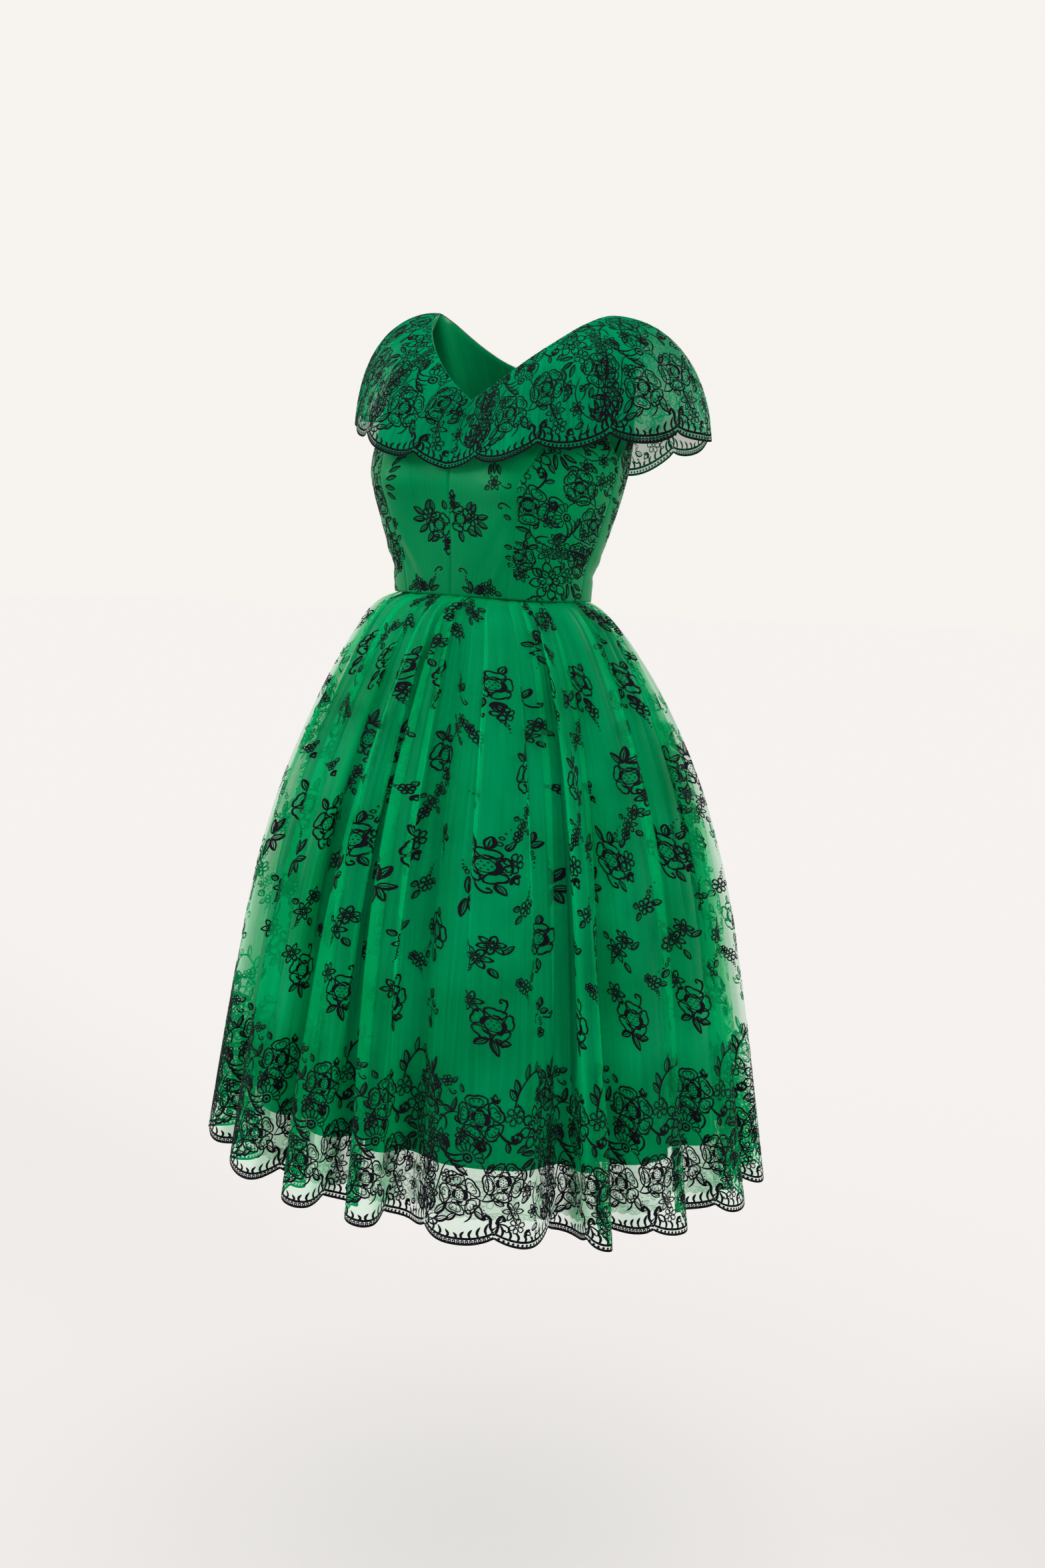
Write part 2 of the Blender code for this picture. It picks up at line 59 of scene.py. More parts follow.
Rows = Sequence[tuple[Any, ...]]
Column = tuple[float, ...]
Table = tuple[Column, ...]
Object, Material = bpy.types.Object, bpy.types.Material
NodeTree, Node = bpy.types.NodeTree, bpy.types.Node
Finishes = dict[str, Material]


def smooth(at: Array, xs: Sequence[float], ys: Sequence[float]) -> Array:
    """Reads a cubic curve through a table's points that never overshoots them.

    Args:
        at: Where the curve is read.
        xs: The table's places, rising.
        ys: The table's values.

    Returns:
        The values at the asked places.
    """
    x, y, at = np.asarray(xs, float), np.asarray(ys, float), np.asarray(at, float)
    step = np.diff(x)
    slope = np.diff(y) / step
    inner = np.zeros(len(x))
    w1, w2 = 2 * step[1:] + step[:-1], step[1:] + 2 * step[:-1]
    with np.errstate(divide="ignore", invalid="ignore"):
        mean = (w1 + w2) / (w1 / slope[:-1] + w2 / slope[1:])
    inner[1:-1] = np.where(slope[:-1] * slope[1:] > 0, mean, 0.0)
    inner[0], inner[-1] = slope[0], slope[-1]
    k = np.clip(np.searchsorted(x, at, side="right") - 1, 0, len(x) - 2)
    h = step[k]
    t = np.clip((at - x[k]) / h, 0.0, 1.0)
    return (
        (1 + 2 * t) * (1 - t) ** 2 * y[k]
        + t * (1 - t) ** 2 * h * inner[k]
        + t**2 * (3 - 2 * t) * y[k + 1]
        + t**2 * (t - 1) * h * inner[k + 1]
    )


def through(points: Any, samples: int) -> Array:
    """Draws a smooth curve through points.

    Args:
        points: Two or more points, along the first axis.
        samples: How many points the curve gets.

    Returns:
        The curve's points, from the first given point to the last.
    """
    p = np.asarray(points, float)
    p = np.concatenate([2 * p[:1] - p[1:2], p, 2 * p[-1:] - p[-2:-1]])
    t = np.linspace(0, len(p) - 3, samples)
    k = np.minimum(t.astype(int), len(p) - 4)
    f = (t - k).reshape([-1] + [1] * (p.ndim - 1))
    a, b, c, d = p[k], p[k + 1], p[k + 2], p[k + 3]
    rise, turn = 2 * a - 5 * b + 4 * c - d, 3 * b - 3 * c + d - a
    return 0.5 * (2 * b + (c - a) * f + rise * f**2 + turn * f**3)


def refine(grid: Array, rows: int, cols: int) -> Array:
    """Smooths a coarse grid of points into a dense one.

    Args:
        grid: Points, row by row.
        rows: Rows of the dense grid.
        cols: Columns of the dense grid.

    Returns:
        The dense grid, through the coarse grid's points.
    """
    across = through(np.swapaxes(grid, 0, 1), cols)
    return through(np.swapaxes(across, 0, 1), rows)


def unit(vectors: Array, least: float = 0.0) -> Array:
    """Gives every vector the length 1; a least length added to each lets it be 0."""
    return vectors / (np.linalg.norm(vectors, axis=-1, keepdims=True) + least)


def travelled(points: Array, axis: int = 0) -> Array:
    """Length of the way through a grid of points along one axis, from the first to each."""
    steps = np.linalg.norm(np.diff(points, axis=axis), axis=-1)
    return np.cumsum(np.insert(steps, 0, 0.0, axis=axis), axis=axis)


class Side(Enum):
    """Side of the wearer, as the sign of X."""

    LEFT = 1
    RIGHT = -1

    @property
    def word(self) -> str:
        """The side's word in a piece's name."""
        return self.name.lower()


@dataclass(frozen=True)
class Lean:
    """How far each level of the worn dress drops to the wearer's left and to the back."""

    z: Column = (-1000.0, -323.0, -180.0, 0.0)
    left: Column = (-0.08, -0.03, -0.07, -0.07)
    back: Column = (-0.02, 0.0, 0.0, 0.0)

    def apply(self, points: Array) -> Array:
        """Returns the points lowered for the lean."""
        p = np.array(points, float)
        slant = np.interp(p[..., 2], self.z, self.left) * p[..., 0]
        p[..., 2] += slant + np.interp(p[..., 2], self.z, self.back) * p[..., 1]
        return p


LEAN = Lean()


class Panel:
    """A panel of cloth as a dense grid of points in millimetres.

    Its rows run from the top edge to the bottom, and its columns run from left to right as
    seen from outside the dress.
    """

    PAST_EDGE = 2.5  # how far beyond its bottom edge a place still counts as on it
    MARGIN = 3.0  # how far outside its flat outline a place is still looked for
    BATCH = 400  # how many places are looked for at once
    EDGE_ON = 0.28  # share of facing below which its threads close up no further

    def __init__(self, points: Array, flat: Array | None = None) -> None:
        """Measures the grid.

        Args:
            points: Array of rows, columns and coordinates.
            flat: Where each point lies on the cloth laid flat, if it isn't cut square.
        """
        self.points = points
        self.flat = flat
        self.rows, self.cols = points.shape[:2]
        self.normals = unit(np.cross(np.gradient(points, axis=0), np.gradient(points, axis=1)))
        self.down = travelled(points)
        self.breadths = np.linalg.norm(np.diff(points, axis=1), axis=2).sum(axis=1)

    def breadth(self, up: float) -> float:
        """Width of the panel at a height above its bottom edge."""
        profile = self.down.mean(axis=1)
        return float(np.interp(profile[-1] - up, profile, self.breadths))

    def locate(self, share: Array, up: Array) -> tuple[Array, Array]:
        """Turns places on the cloth into places on the grid.

        Args:
            share: Share of the panel's width, from its left edge.
            up: Millimetres above the bottom edge.

        Returns:
            Fractional rows and columns; a row is below 0 past the top edge.
        """
        col = share * (self.cols - 1)
        height = np.interp(col, np.arange(self.cols), self.down[-1])
        profile = self.down.mean(axis=1) / self.down[-1].mean()
        down = 1.0 - up / height
        row = np.interp(down, profile, np.arange(self.rows))
        row = np.where(down < 0, -1.0, row)
        return np.where((down - 1) * height > self.PAST_EDGE, self.rows, row), col

    def find(self, x: Array, y: Array) -> tuple[Array, Array]:
        """Turns places on the cloth laid flat into fractional rows and columns."""
        places = np.stack([x, y], axis=-1)
        grid = self.flat.reshape(-1, 2)
        low, high = grid.min(axis=0) - self.MARGIN, grid.max(axis=0) + self.MARGIN
        near = ((places > low) & (places < high)).all(axis=1)
        nearest = np.zeros(len(places), int)
        for part in np.array_split(np.flatnonzero(near), near.sum() // self.BATCH + 1):
            far = [(places[part, k, None] - grid[None, :, k]) ** 2 for k in (0, 1)]
            nearest[part] = (far[0] + far[1]).argmin(axis=1)
        row, col = np.divmod(nearest, self.cols)
        down, along = np.gradient(self.flat, axis=0), np.gradient(self.flat, axis=1)
        slopes = np.stack([down[row, col], along[row, col]], axis=-1)
        step = np.linalg.solve(slopes, (places - self.flat[row, col])[..., None])[..., 0]
        return np.where(near, row + step[:, 0], -1.0), col + step[:, 1]

    def at(self, row: Array, col: Array, lift: float) -> Array:
        """Points on the cloth at fractional rows and columns, lifted off its outer side."""
        row = np.clip(row, 0, self.rows - 1)
        col = np.clip(col, 0, self.cols - 1)
        r = np.minimum(row.astype(int), self.rows - 2)
        c = np.minimum(col.astype(int), self.cols - 2)
        v, u = (row - r)[:, None], (col - c)[:, None]

        def blend(grid: Array) -> Array:
            upper = grid[r, c] * (1 - u) + grid[r, c + 1] * u
            lower = grid[r + 1, c] * (1 - u) + grid[r + 1, c + 1] * u
            return upper * (1 - v) + lower * v

        return blend(self.points) + lift * blend(self.normals)

    def covered(self, straight: float) -> Array:
        """Share that the threads cover at each point, seen from outside the dress.

        Args:
            straight: Share that they cover where the cloth is seen straight on.

        Returns:
            The share at each point, higher where a fold's side runs away from the viewer.
        """
        outward = unit(self.points * (1, 1, 0))
        facing = np.abs((self.normals * outward).sum(axis=2))
        return 1.0 - (1.0 - straight) ** (1.0 / np.clip(facing, self.EDGE_ON, 1.0))

    def part(self, first: int, last: int) -> "Panel":
        """The panel between two of its columns."""
        return Panel(self.points[:, first : last + 1])

    def piece(self, name: str, finish: Material, wall: float = 0.0) -> Object:
        """Makes the panel's mesh.

        Args:
            name: Name of the new object.
            finish: Its material.
            wall: Thickness in millimetres, or 0 for a single sheer surface.

        Returns:
            The new object, smooth shaded, with a map of the cloth in metres.
        """
        index = np.arange(self.rows * self.cols).reshape(self.rows, self.cols)
        corners = (index[:-1, :-1], index[1:, :-1], index[1:, 1:], index[:-1, 1:])
        faces = np.stack(corners, axis=-1).reshape(-1, 4)
        obj = new_mesh(name, self.points.reshape(-1, 3), faces, finish)
        width = np.linspace(0, self.breadths.max(), self.cols)
        flat = np.stack([np.broadcast_to(width, self.down.shape), -self.down], axis=-1) * MM
        layer = obj.data.uv_layers.new(name=CLOTH_MAP)
        layer.data.foreach_set("uv", flat.reshape(-1, 2)[faces.ravel()].ravel())
        if finish.get(COVER, 1.0) < 1.0:
            layer = obj.data.attributes.new(COVER, "FLOAT", "POINT")
            layer.data.foreach_set("value", self.covered(finish[COVER]).ravel())
        if wall:
            solid = obj.modifiers.new("wall", "SOLIDIFY")
            solid.thickness = wall * MM
            solid.offset = 0.0
        return obj


def new_mesh(name: str, points: Array, faces: Array, finish: Material) -> Object:
    """Makes a smooth mesh object from points in millimetres.

    Args:
        name: Name of the new object.
        points: Its vertices.
        faces: Vertex numbers of its quads.
        finish: Its material.

    Returns:
        The new object, linked to the scene.
    """
    mesh = bpy.data.meshes.new(name)
    mesh.from_pydata((points * MM).tolist(), [], faces.tolist())
    mesh.shade_smooth()
    mesh.materials.append(finish)
    obj = bpy.data.objects.new(name, mesh)
    bpy.context.scene.collection.objects.link(obj)
    return obj


def linear(code: str) -> tuple[float, float, float, float]:
    """Turns an sRGB hex value into a linear colour."""
    parts = [int(code[k : k + 2], 16) / 255 for k in (1, 3, 5)]
    r, g, b = (c / 12.92 if c <= 0.04045 else ((c + 0.055) / 1.055) ** 2.4 for c in parts)
    return r, g, b, 1.0


def add_node(
    tree: NodeTree, kind: str, settings: dict[Any, Any], links: dict[Any, Any] | None = None
) -> Node:
    """Adds a node with its settings and links.

    Args:
        tree: The material's node tree.
        kind: The node's type, without ShaderNode.
        settings: Values of its sockets, by name or number, or of its own properties.
        links: Sockets of other nodes, by the name or number of the input they feed.

    Returns:
        The new node.
    """
    node = tree.nodes.new("ShaderNode" + kind)
    for name, value in settings.items():
        if isinstance(name, int) or name in node.inputs:
            node.inputs[name].default_value = value
        else:
            setattr(node, name, value)
    for name, socket in (links or {}).items():
        tree.links.new(socket, node.inputs[name])
    return node


def new_material(name: str, settings: dict[str, Any]) -> tuple[Material, NodeTree, Node]:
    """Starts a material.

    Args:
        name: Its name.
        settings: Values of its shader's sockets, by name.

    Returns:
        The material, its node tree and its shader.
    """
    made = bpy.data.materials.new(name)
    made.use_nodes = True
    shader = made.node_tree.nodes["Principled BSDF"]
    for socket, value in settings.items():
        shader.inputs[socket].default_value = value
    return made, made.node_tree, shader


@dataclass(frozen=True)
class WovenCloth:
    """A plain-woven cloth with slubs along the warp and a soft sheen."""

    name: str
    light: str
    shade: str
    roughness: float
    sheen: float
    cover: float = 1.0
    contrast: float = 1.0
    slub_width: float = 3.0  # real slubs are 0.3 mm wide; finer ones don't show in the render
    slub_length: float = 220.0
    clouds: float = 9.0  # patches to a metre where the dye took a little more or less
    rib: float = 3.16  # real threads are 0.2 mm apart; drawn coarser so that they show close up
    rib_share: float = 0.3  # of the relief, against the slubs' share of 1
    relief: float = 0.05
    specular: float = 0.1
    gloss: str = "#18D890"  # dyed threads give back light of their own colour

    def material(self) -> Material:
        """Makes the cloth's material."""
        made, tree, shader = new_material(self.name, {
            "Roughness": self.roughness,
            "Specular IOR Level": self.specular,
            "Specular Tint": linear(self.gloss),
            "Sheen Weight": self.sheen,
            "Sheen Roughness": 0.35,
            "Sheen Tint": linear(self.gloss),
        })
        flat = add_node(tree, "UVMap", {"uv_map": CLOTH_MAP}).outputs["UV"]
        body = add_node(tree, "TexCoord", {}).outputs["Object"]
        stretch = (1 / (self.slub_width * MM), 1 / (self.slub_length * MM), 1.0)
        warp = add_node(tree, "Mapping", {"Scale": stretch}, {"Vector": flat})
        slubs = add_node(
            tree, "TexNoise", {"Scale": 1.0, "Detail": 3.0}, {"Vector": warp.outputs["Vector"]}
        ).outputs["Fac"]
        clouds = add_node(
            tree, "TexNoise", {"Scale": self.clouds, "Detail": 2.0}, {"Vector": body}
        ).outputs["Fac"]
        both = add_node(tree, "Math", {"operation": "ADD"}, {0: slubs, 1: clouds})
        # The two noises add up to about 1; the colours spread over a quarter on either side.
        reach = 0.25 / self.contrast
        spread = add_node(
            tree, "MapRange", {"From Min": 1 - reach, "From Max": 1 + reach},
            {"Value": both.outputs["Value"]},
        )
        colour = add_node(
            tree, "MixRGB", {"Color1": linear(self.shade), "Color2": linear(self.light)},
            {"Fac": spread.outputs["Result"]},
        )
        # Blender's wave makes 20 / (2 pi) ribs to a metre for each unit of its scale.
        fineness = 2 * math.pi / 20 / (self.rib * MM)
        ribs = add_node(
            tree, "TexWave", {"Scale": fineness, "bands_direction": "Y", "Distortion": 0.6},
            {"Vector": flat},
        )
        height = add_node(
            tree, "Math", {"operation": "MULTIPLY_ADD", 1: self.rib_share},
            {0: ribs.outputs["Fac"], 2: slubs},
        )
        bump = add_node(
            tree, "Bump", {"Strength": 0.5, "Distance": self.relief * MM},
            {"Height": height.outputs["Value"]},
        )
        tree.links.new(colour.outputs["Color"], shader.inputs["Base Color"])
        tree.links.new(bump.outputs["Normal"], shader.inputs["Normal"])
        if self.cover < 1.0:
            made[COVER] = self.cover
            open_weave = add_node(tree, "Attribute", {"attribute_name": COVER})
            tree.links.new(open_weave.outputs["Fac"], shader.inputs["Alpha"])
        return made


@dataclass(frozen=True)
class Flock:
    """Short rayon fibres glued on in the print's lines: deep, matt and a little blue."""

    name: str = "flocked_print"
    colour: str = "#060609"
    tip: str = "#14151C"
    gloss: str = "#7080A0"
    grain: float = 0.8  # real fibres are 0.3 mm long; drawn coarser so that they show close up

    def material(self) -> Material:
        """Makes the flock's material."""
        made, tree, shader = new_material(self.name, {
            "Roughness": 0.95,
            "Specular IOR Level": 0.05,
            "Sheen Weight": 0.04,
            "Sheen Tint": linear(self.gloss),
        })
        body = add_node(tree, "TexCoord", {}).outputs["Object"]
        fibres = add_node(
            tree, "TexNoise", {"Scale": 1 / (self.grain * MM), "Detail": 1.0}, {"Vector": body}
        )
        colour = add_node(
            tree, "MixRGB", {"Color1": linear(self.colour), "Color2": linear(self.tip)},
            {"Fac": fibres.outputs["Fac"]},
        )
        tree.links.new(colour.outputs["Color"], shader.inputs["Base Color"])
        return made


class Drawing:
    """Brush strokes in millimetres, x to the right along the cloth and y up it."""

    BRUSH = 1.7  # the real lines are 0.6 to 1.2 mm wide; drawn wider so that they show
    # Places along a dot and its half width at each, in shares of its radius.
    DOT = np.array([(-1.0, 0.3), (-0.4, 0.95), (0.4, 0.95), (1.0, 0.3)])

    def __init__(self) -> None:
        """Starts with no strokes."""
        self.strokes: list[tuple[Array, Array]] = []

    def stroke(
        self, points: Any, weight: float, samples: int = 8, ends: Pair = (0.3, 0.3),
        turn: float = 0.0, size: Any = 1.0,
    ) -> "Drawing":
        """Adds one brush stroke that swells in its middle.

        Args:
            points: Points that the stroke runs through.
            weight: Its width at its middle.
            samples: How many points it is drawn with.
            ends: Its width at its two ends, as shares of the weight.
            turn: Degrees by which it is turned about the origin.
            size: What the points are shares of.

        Returns:
            The drawing.
        """
        path = through(rotate(np.array(points, float) * size, turn), samples)
        t = np.linspace(0, 1, samples)
        tip = ends[0] * (1 - t) + ends[1] * t
        width = weight * (tip + (1 - tip) * np.sin(np.pi * t) ** 0.6)
        self.strokes.append((path, width * self.BRUSH / 2))
        return self

    def ring(self, x: float, y: float, radius: float, weight: float, sides: int = 8) -> "Drawing":
        """Adds a closed ring."""
        turn = np.linspace(0, 2 * np.pi, sides + 1)
        path = np.stack([x + radius * np.cos(turn), y + radius * np.sin(turn)], axis=-1)
        self.strokes.append((path, np.full(sides + 1, weight * self.BRUSH / 2)))
        return self

    def dot(self, x: float, y: float, radius: float) -> "Drawing":
        """Adds a filled dot."""
        along, width = self.DOT.T * radius
        self.strokes.append((np.stack([x + along, y + 0 * along], axis=-1), width))
        return self

    def arc(
        self, radius: float, start: float, end: float, weight: float, samples: int = 6
    ) -> "Drawing":
        """Adds a stroke along an arc round the origin, between two angles in degrees."""
        path = [polar(radius, turn) for turn in np.linspace(start, end, 4)]
        return self.stroke(path, weight, samples, (0.15, 0.15))

    def outline(
        self, shape: Points, turn: float, base: float, length: float, width: float, weight: float
    ) -> "Drawing":
        """Adds a petal or leaf that points away from the origin.

        Args:
            shape: Half of its outline, from the base to the tip, in shares of its size.
            turn: Direction it points in, in degrees.
            base: How far from the origin it starts.
            length: Its length.
            width: Its whole width.
            weight: Width of the line.

        Returns:
            The drawing.
        """
        half = np.array(shape, float)
        whole = np.concatenate([half, half[-2::-1] * (1, -1)]) * (length, width) + (base, 0)
        return self.stroke(whole, weight, 2 * len(half) + 2, (0.7, 0.5), turn)

    def moved(
        self, x: float = 0.0, y: float = 0.0, turn: float = 0.0, scale: float = 1.0,
        mirror: bool = False,
    ) -> "Drawing":
        """Returns a copy that is scaled, mirrored left to right, turned and then moved."""
        new = Drawing()
        flip = (-1.0, 1.0) if mirror else (1.0, 1.0)
        for path, width in self.strokes:
            new.strokes.append((rotate(path * scale * flip, turn) + (x, y), width * scale))
        return new

    def thinned(self, share: float) -> "Drawing":
        """Returns a copy whose lines have this share of their width."""
        new = Drawing()
        new.strokes = [(path, width * share) for path, width in self.strokes]
        return new

    def add(self, other: "Drawing") -> "Drawing":
        """Adds another drawing's strokes."""
        self.strokes += other.strokes
        return self

    @cached_property
    def ribbons(self) -> tuple[Array, Array]:
        """The strokes as flat ribbons: their corners, and the corner numbers of the quads."""
        corners, quads, count = [], [], 0
        for path, width in self.strokes:
            along = unit(np.gradient(path, axis=0), 1e-9)
            aside = np.stack([-along[:, 1], along[:, 0]], axis=-1) * width[:, None]
            corners.append(np.stack([path + aside, path - aside], axis=1).reshape(-1, 2))
            k = count + 2 * np.arange(len(path) - 1)
            quads.append(np.stack([k, k + 1, k + 3, k + 2], axis=-1))
            count += 2 * len(path)
        return np.concatenate(corners), np.concatenate(quads)


def rotate(points: Array, degrees: float) -> Array:
    """Turns flat points about the origin."""
    c, s = polar(1.0, degrees)
    return points @ np.array([(c, s), (-s, c)])


def polar(reach: float, degrees: float) -> Pair:
    """Point at a distance from the origin, in a direction."""
    return reach * math.cos(math.radians(degrees)), reach * math.sin(math.radians(degrees))


ROUND_PETAL: Points = ((0, 0), (0.25, 0.34), (0.62, 0.52), (0.92, 0.36), (1.0, 0.14), (0.92, 0))
POINTED_PETAL: Points = ((0, 0), (0.3, 0.42), (0.68, 0.38), (0.88, 0.14), (1.0, 0))
NARROW_LEAF: Points = ((0, 0), (0.22, 0.36), (0.55, 0.46), (0.85, 0.2), (1.0, 0))
LARGE_ROSE = 15.0  # radius above which a rose has inner petals
BORDER_REPEAT = 155.0  # width of the deep border's repeat as it is drawn, over two scallops


def leaf(length: float = 12.0, width: float = 5.0, turn: float = 0.0) -> Drawing:
    """A leaf with its midrib and one heavier side, from its stalk at the origin."""
    new = Drawing()
    heavy = 0.75 + 0.03 * length
    new.stroke(NARROW_LEAF, 0.75 * heavy, 7, (0.5, 0.5), turn, (length, width))
    new.stroke(NARROW_LEAF, 1.3 * heavy, 7, (0.4, 0.3), turn, (length, -width))
    rib = ((0.0, 0.0), (0.4, 0.03), (0.75, 0.0))
    return new.stroke(rib, 0.55, 4, turn=turn, size=(length, width))


def scroll(size: float = 12.0, turn: float = 0.0, mirror: bool = False) -> Drawing:
    """A hook that ends in a ball, from its stalk at the origin."""
    new = Drawing()
    path = ((0, 0), (0.3, 0.08), (0.68, 0.3), (0.88, 0.68), (0.7, 0.98), (0.46, 0.86))
    new.stroke(path, 0.5 + 0.055 * size, 10, (0.25, 0.4), size=size)
    new.dot(0.5 * size, 0.78 * size, 0.4 + 0.07 * size)
    return new.moved(turn=turn, mirror=mirror)


def berries(length: float = 14.0, count: int = 4, turn: float = 0.0) -> Drawing:
    """A trail of berries that grow smaller along a slight curve."""
    new = Drawing()
    for k, t in enumerate(np.linspace(0.15, 1.0, count)):
        x, y, radius = length * t, 0.16 * length * math.sin(2.4 * t), 1.5 - 0.9 * t
        if k < count // 2:
            new.ring(x, y, radius + 0.3, 0.6, 6)
        else:
            new.dot(x, y, radius)
    return new.moved(turn=turn)


def rose(radius: float = 14.0) -> Drawing:
    """An open rose: notched petals round a dotted heart in heavy crescents.

    Args:
        radius: Its radius. A small rose has a larger heart and no inner petals.

    Returns:
        The drawing.
    """
    large = radius > LARGE_ROSE
    heart = (0.24 if large else 0.4) * radius
    new = Drawing().ring(0, 0, heart, 0.6, 10)
    heavy = 0.7 + 0.024 * radius
    for k in range(5):
        turn = 72 * k + 12
        new.outline(ROUND_PETAL, turn, 0.42 * radius, 0.58 * radius, 0.98 * radius, heavy)
        if large:
            new.outline(ROUND_PETAL, turn, 0.46 * radius, 0.42 * radius, 0.6 * radius, 0.6 * heavy)
            for low, high in ((0.06, 0.12), (-0.1, -0.2)):
                new.stroke(((0.68, low), (0.9, high)), 0.6, 3, (0.9, 0.2), turn, radius)
    for k in range(6 if large else 0):
        new.outline(ROUND_PETAL, 60 * k + 40, 0.3 * radius, 0.24 * radius, 0.4 * radius, 0.75)
    for start, end, reach, weight in (
        (-80, 50, 1.3, 2.0), (105, 200, 1.25, 1.6), (215, 275, 1.5, 1.2), (40, 100, 1.5, 1.2),
    ):
        new.arc(reach * heart, start, end, weight * radius / 14)
    for k in range(7):
        new.dot(*polar(0.58 * heart * min(k, 1), 60 * k), 0.35 + 0.02 * radius)
    return new


def peony(radius: float = 20.0) -> Drawing:
    """A full flower with two rings of pointed petals and a dark heart."""
    new = Drawing()
    for k in range(8):
        new.outline(POINTED_PETAL, 45 * k + 8, 0.42 * radius, 0.58 * radius, 0.5 * radius, 1.25)
    for k in range(6):
        new.outline(POINTED_PETAL, 60 * k + 30, 0.16 * radius, 0.46 * radius, 0.4 * radius, 1.05)
        new.stroke(((0.28, 0.0), (0.5, 0.02)), 1.1, 3, (0.8, 0.1), 60 * k + 30, radius)
    for start in (200, 245, 290, 335):
        new.arc(0.2 * radius, start - 25, start + 25, 2.2 * radius / 20)
    for k in range(7):
        x, y = polar((0.1 + 0.03 * (k % 3)) * radius, 25 * k)
        new.dot(x, y + 0.04 * radius, 0.5)
    return new


def daisy(radius: float = 8.0, petals: int = 6) -> Drawing:
    """A small flower with round petals."""
    new = Drawing().ring(0, 0, 0.2 * radius, 0.75, 8)
    for k in range(petals):
        turn = 360 * k / petals + 15
        width = 4.4 / petals * radius
        new.outline(ROUND_PETAL, turn, 0.26 * radius, 0.74 * radius, width * 0.8, 0.85)
    return new


def star_flower(radius: float = 9.0) -> Drawing:
    """A small flower with six pointed petals, each with a rib."""
    new = Drawing().ring(0, 0, 0.17 * radius, 0.8, 6)
    for k in range(6):
        new.outline(POINTED_PETAL, 60 * k, 0.2 * radius, 0.8 * radius, 0.5 * radius, 0.9)
        new.stroke(((0.3, 0.0), (0.6, 0.0)), 0.8, 3, (0.8, 0.1), 60 * k, radius)
    return new


def tulip(radius: float = 16.0) -> Drawing:
    """A tall closed flower above two curled sepals, pointing up."""
    new = Drawing()
    for turn, length in ((90, 1.55), (66, 1.35), (114, 1.35), (42, 1.0), (138, 1.0)):
        new.outline(POINTED_PETAL, turn, 0.05 * radius, length * radius, 0.62 * radius, 0.95)
    for turn in (84, 90, 97):
        new.stroke(((0.3, 0.0), (0.9, 0.02)), 0.9, 4, (0.9, 0.1), turn, radius)
    for turn, mirror in ((-20, False), (200, True)):
        new.add(scroll(0.6 * radius, turn, mirror))
    return new


def eye_flower(radius: float = 13.0) -> Drawing:
    """A half flower with a ringed eye, a fan of narrow petals and curved horns below."""
    new = Drawing().ring(0, 0, 0.26 * radius, 1.3, 10).dot(0, 0, 0.12 * radius)
    for k in range(7):
        new.outline(ROUND_PETAL, 22 * k + 2, 0.4 * radius, 0.6 * radius, 0.3 * radius, 0.85)
        new.dot(*polar(0.84 * radius, 22 * k + 2), 0.45)
    for lift, reach in ((0.0, 1.0), (0.34, 1.3), (0.7, 1.6)):
        path = np.array([(-0.1, -0.5), (-0.7, -0.75), (-1.25, -0.45), (-1.5, 0.15)])
        new.stroke(path * radius * (reach * 0.8, 0.9) + (0, lift * radius), 1.5, 8, (0.2, 0.15))
    return new


def plume(size: float = 40.0) -> Drawing:
    """A feathered stem that arches over to a ball, with leaves on its outer side."""
    path = np.array([(0, 0), (0.1, 0.34), (0.36, 0.62), (0.72, 0.64), (0.86, 0.4), (0.7, 0.24)])
    curve = through(path * size, 13)
    new = Drawing().stroke(path * size, 1.3, 13, (0.8, 0.6))
    new.dot(0.69 * size, 0.26 * size, 0.055 * size)
    ways = np.gradient(curve, axis=0)
    for k, length in ((2, 0.34), (4, 0.34), (6, 0.3), (7, 0.24), (8, 0.2), (9, 0.16)):
        turn = math.degrees(math.atan2(ways[k, 1], ways[k, 0])) + 38
        new.add(leaf(length * size, 0.13 * size, turn).moved(*curve[k]))
    new.add(leaf(0.32 * size, 0.13 * size, 120).moved(*curve[1]))
    return new


def leafy_spray(size: float = 30.0) -> Drawing:
    """A fan of curved leaves and a scroll that spring from one point."""
    new = Drawing()
    for turn, length in ((86, 0.62), (62, 0.8), (38, 0.95), (14, 0.8), (112, 0.5)):
        stalk = rotate(np.array([(0.0, 0.0), (0.3, 0.05), (0.5, 0.0)]) * size * length, turn)
        new.stroke(stalk, 0.7, 5)
        new.add(leaf(0.6 * size * length, 0.2 * size * length, turn + 8).moved(*stalk[-1]))
    return new.add(scroll(0.42 * size, -38))


def bud(size: float = 8.0) -> Drawing:
    """A pointed bud between two small leaves."""
    new = Drawing().outline(POINTED_PETAL, 0, 0, size, 0.55 * size, 1.0)
    for turn in (42, -42):
        new.add(leaf(0.75 * size, 0.3 * size, turn))
    return new.dot(0.3 * size, 0, 0.09 * size)


@dataclass(frozen=True)
class Spot:
    """One flower or leaf of a larger motif."""

    make: Callable[..., Drawing]
    size: float
    x: float
    y: float
    turn: float = 0.0
    mirror: bool = False


def compose(rows: Rows) -> Drawing:
    """Draws all the spots of a motif together, each given by a row of its values."""
    new = Drawing()
    for s in (Spot(*row) for row in rows):
        new.add(s.make(s.size).moved(s.x, s.y, s.turn, mirror=s.mirror))
    return new


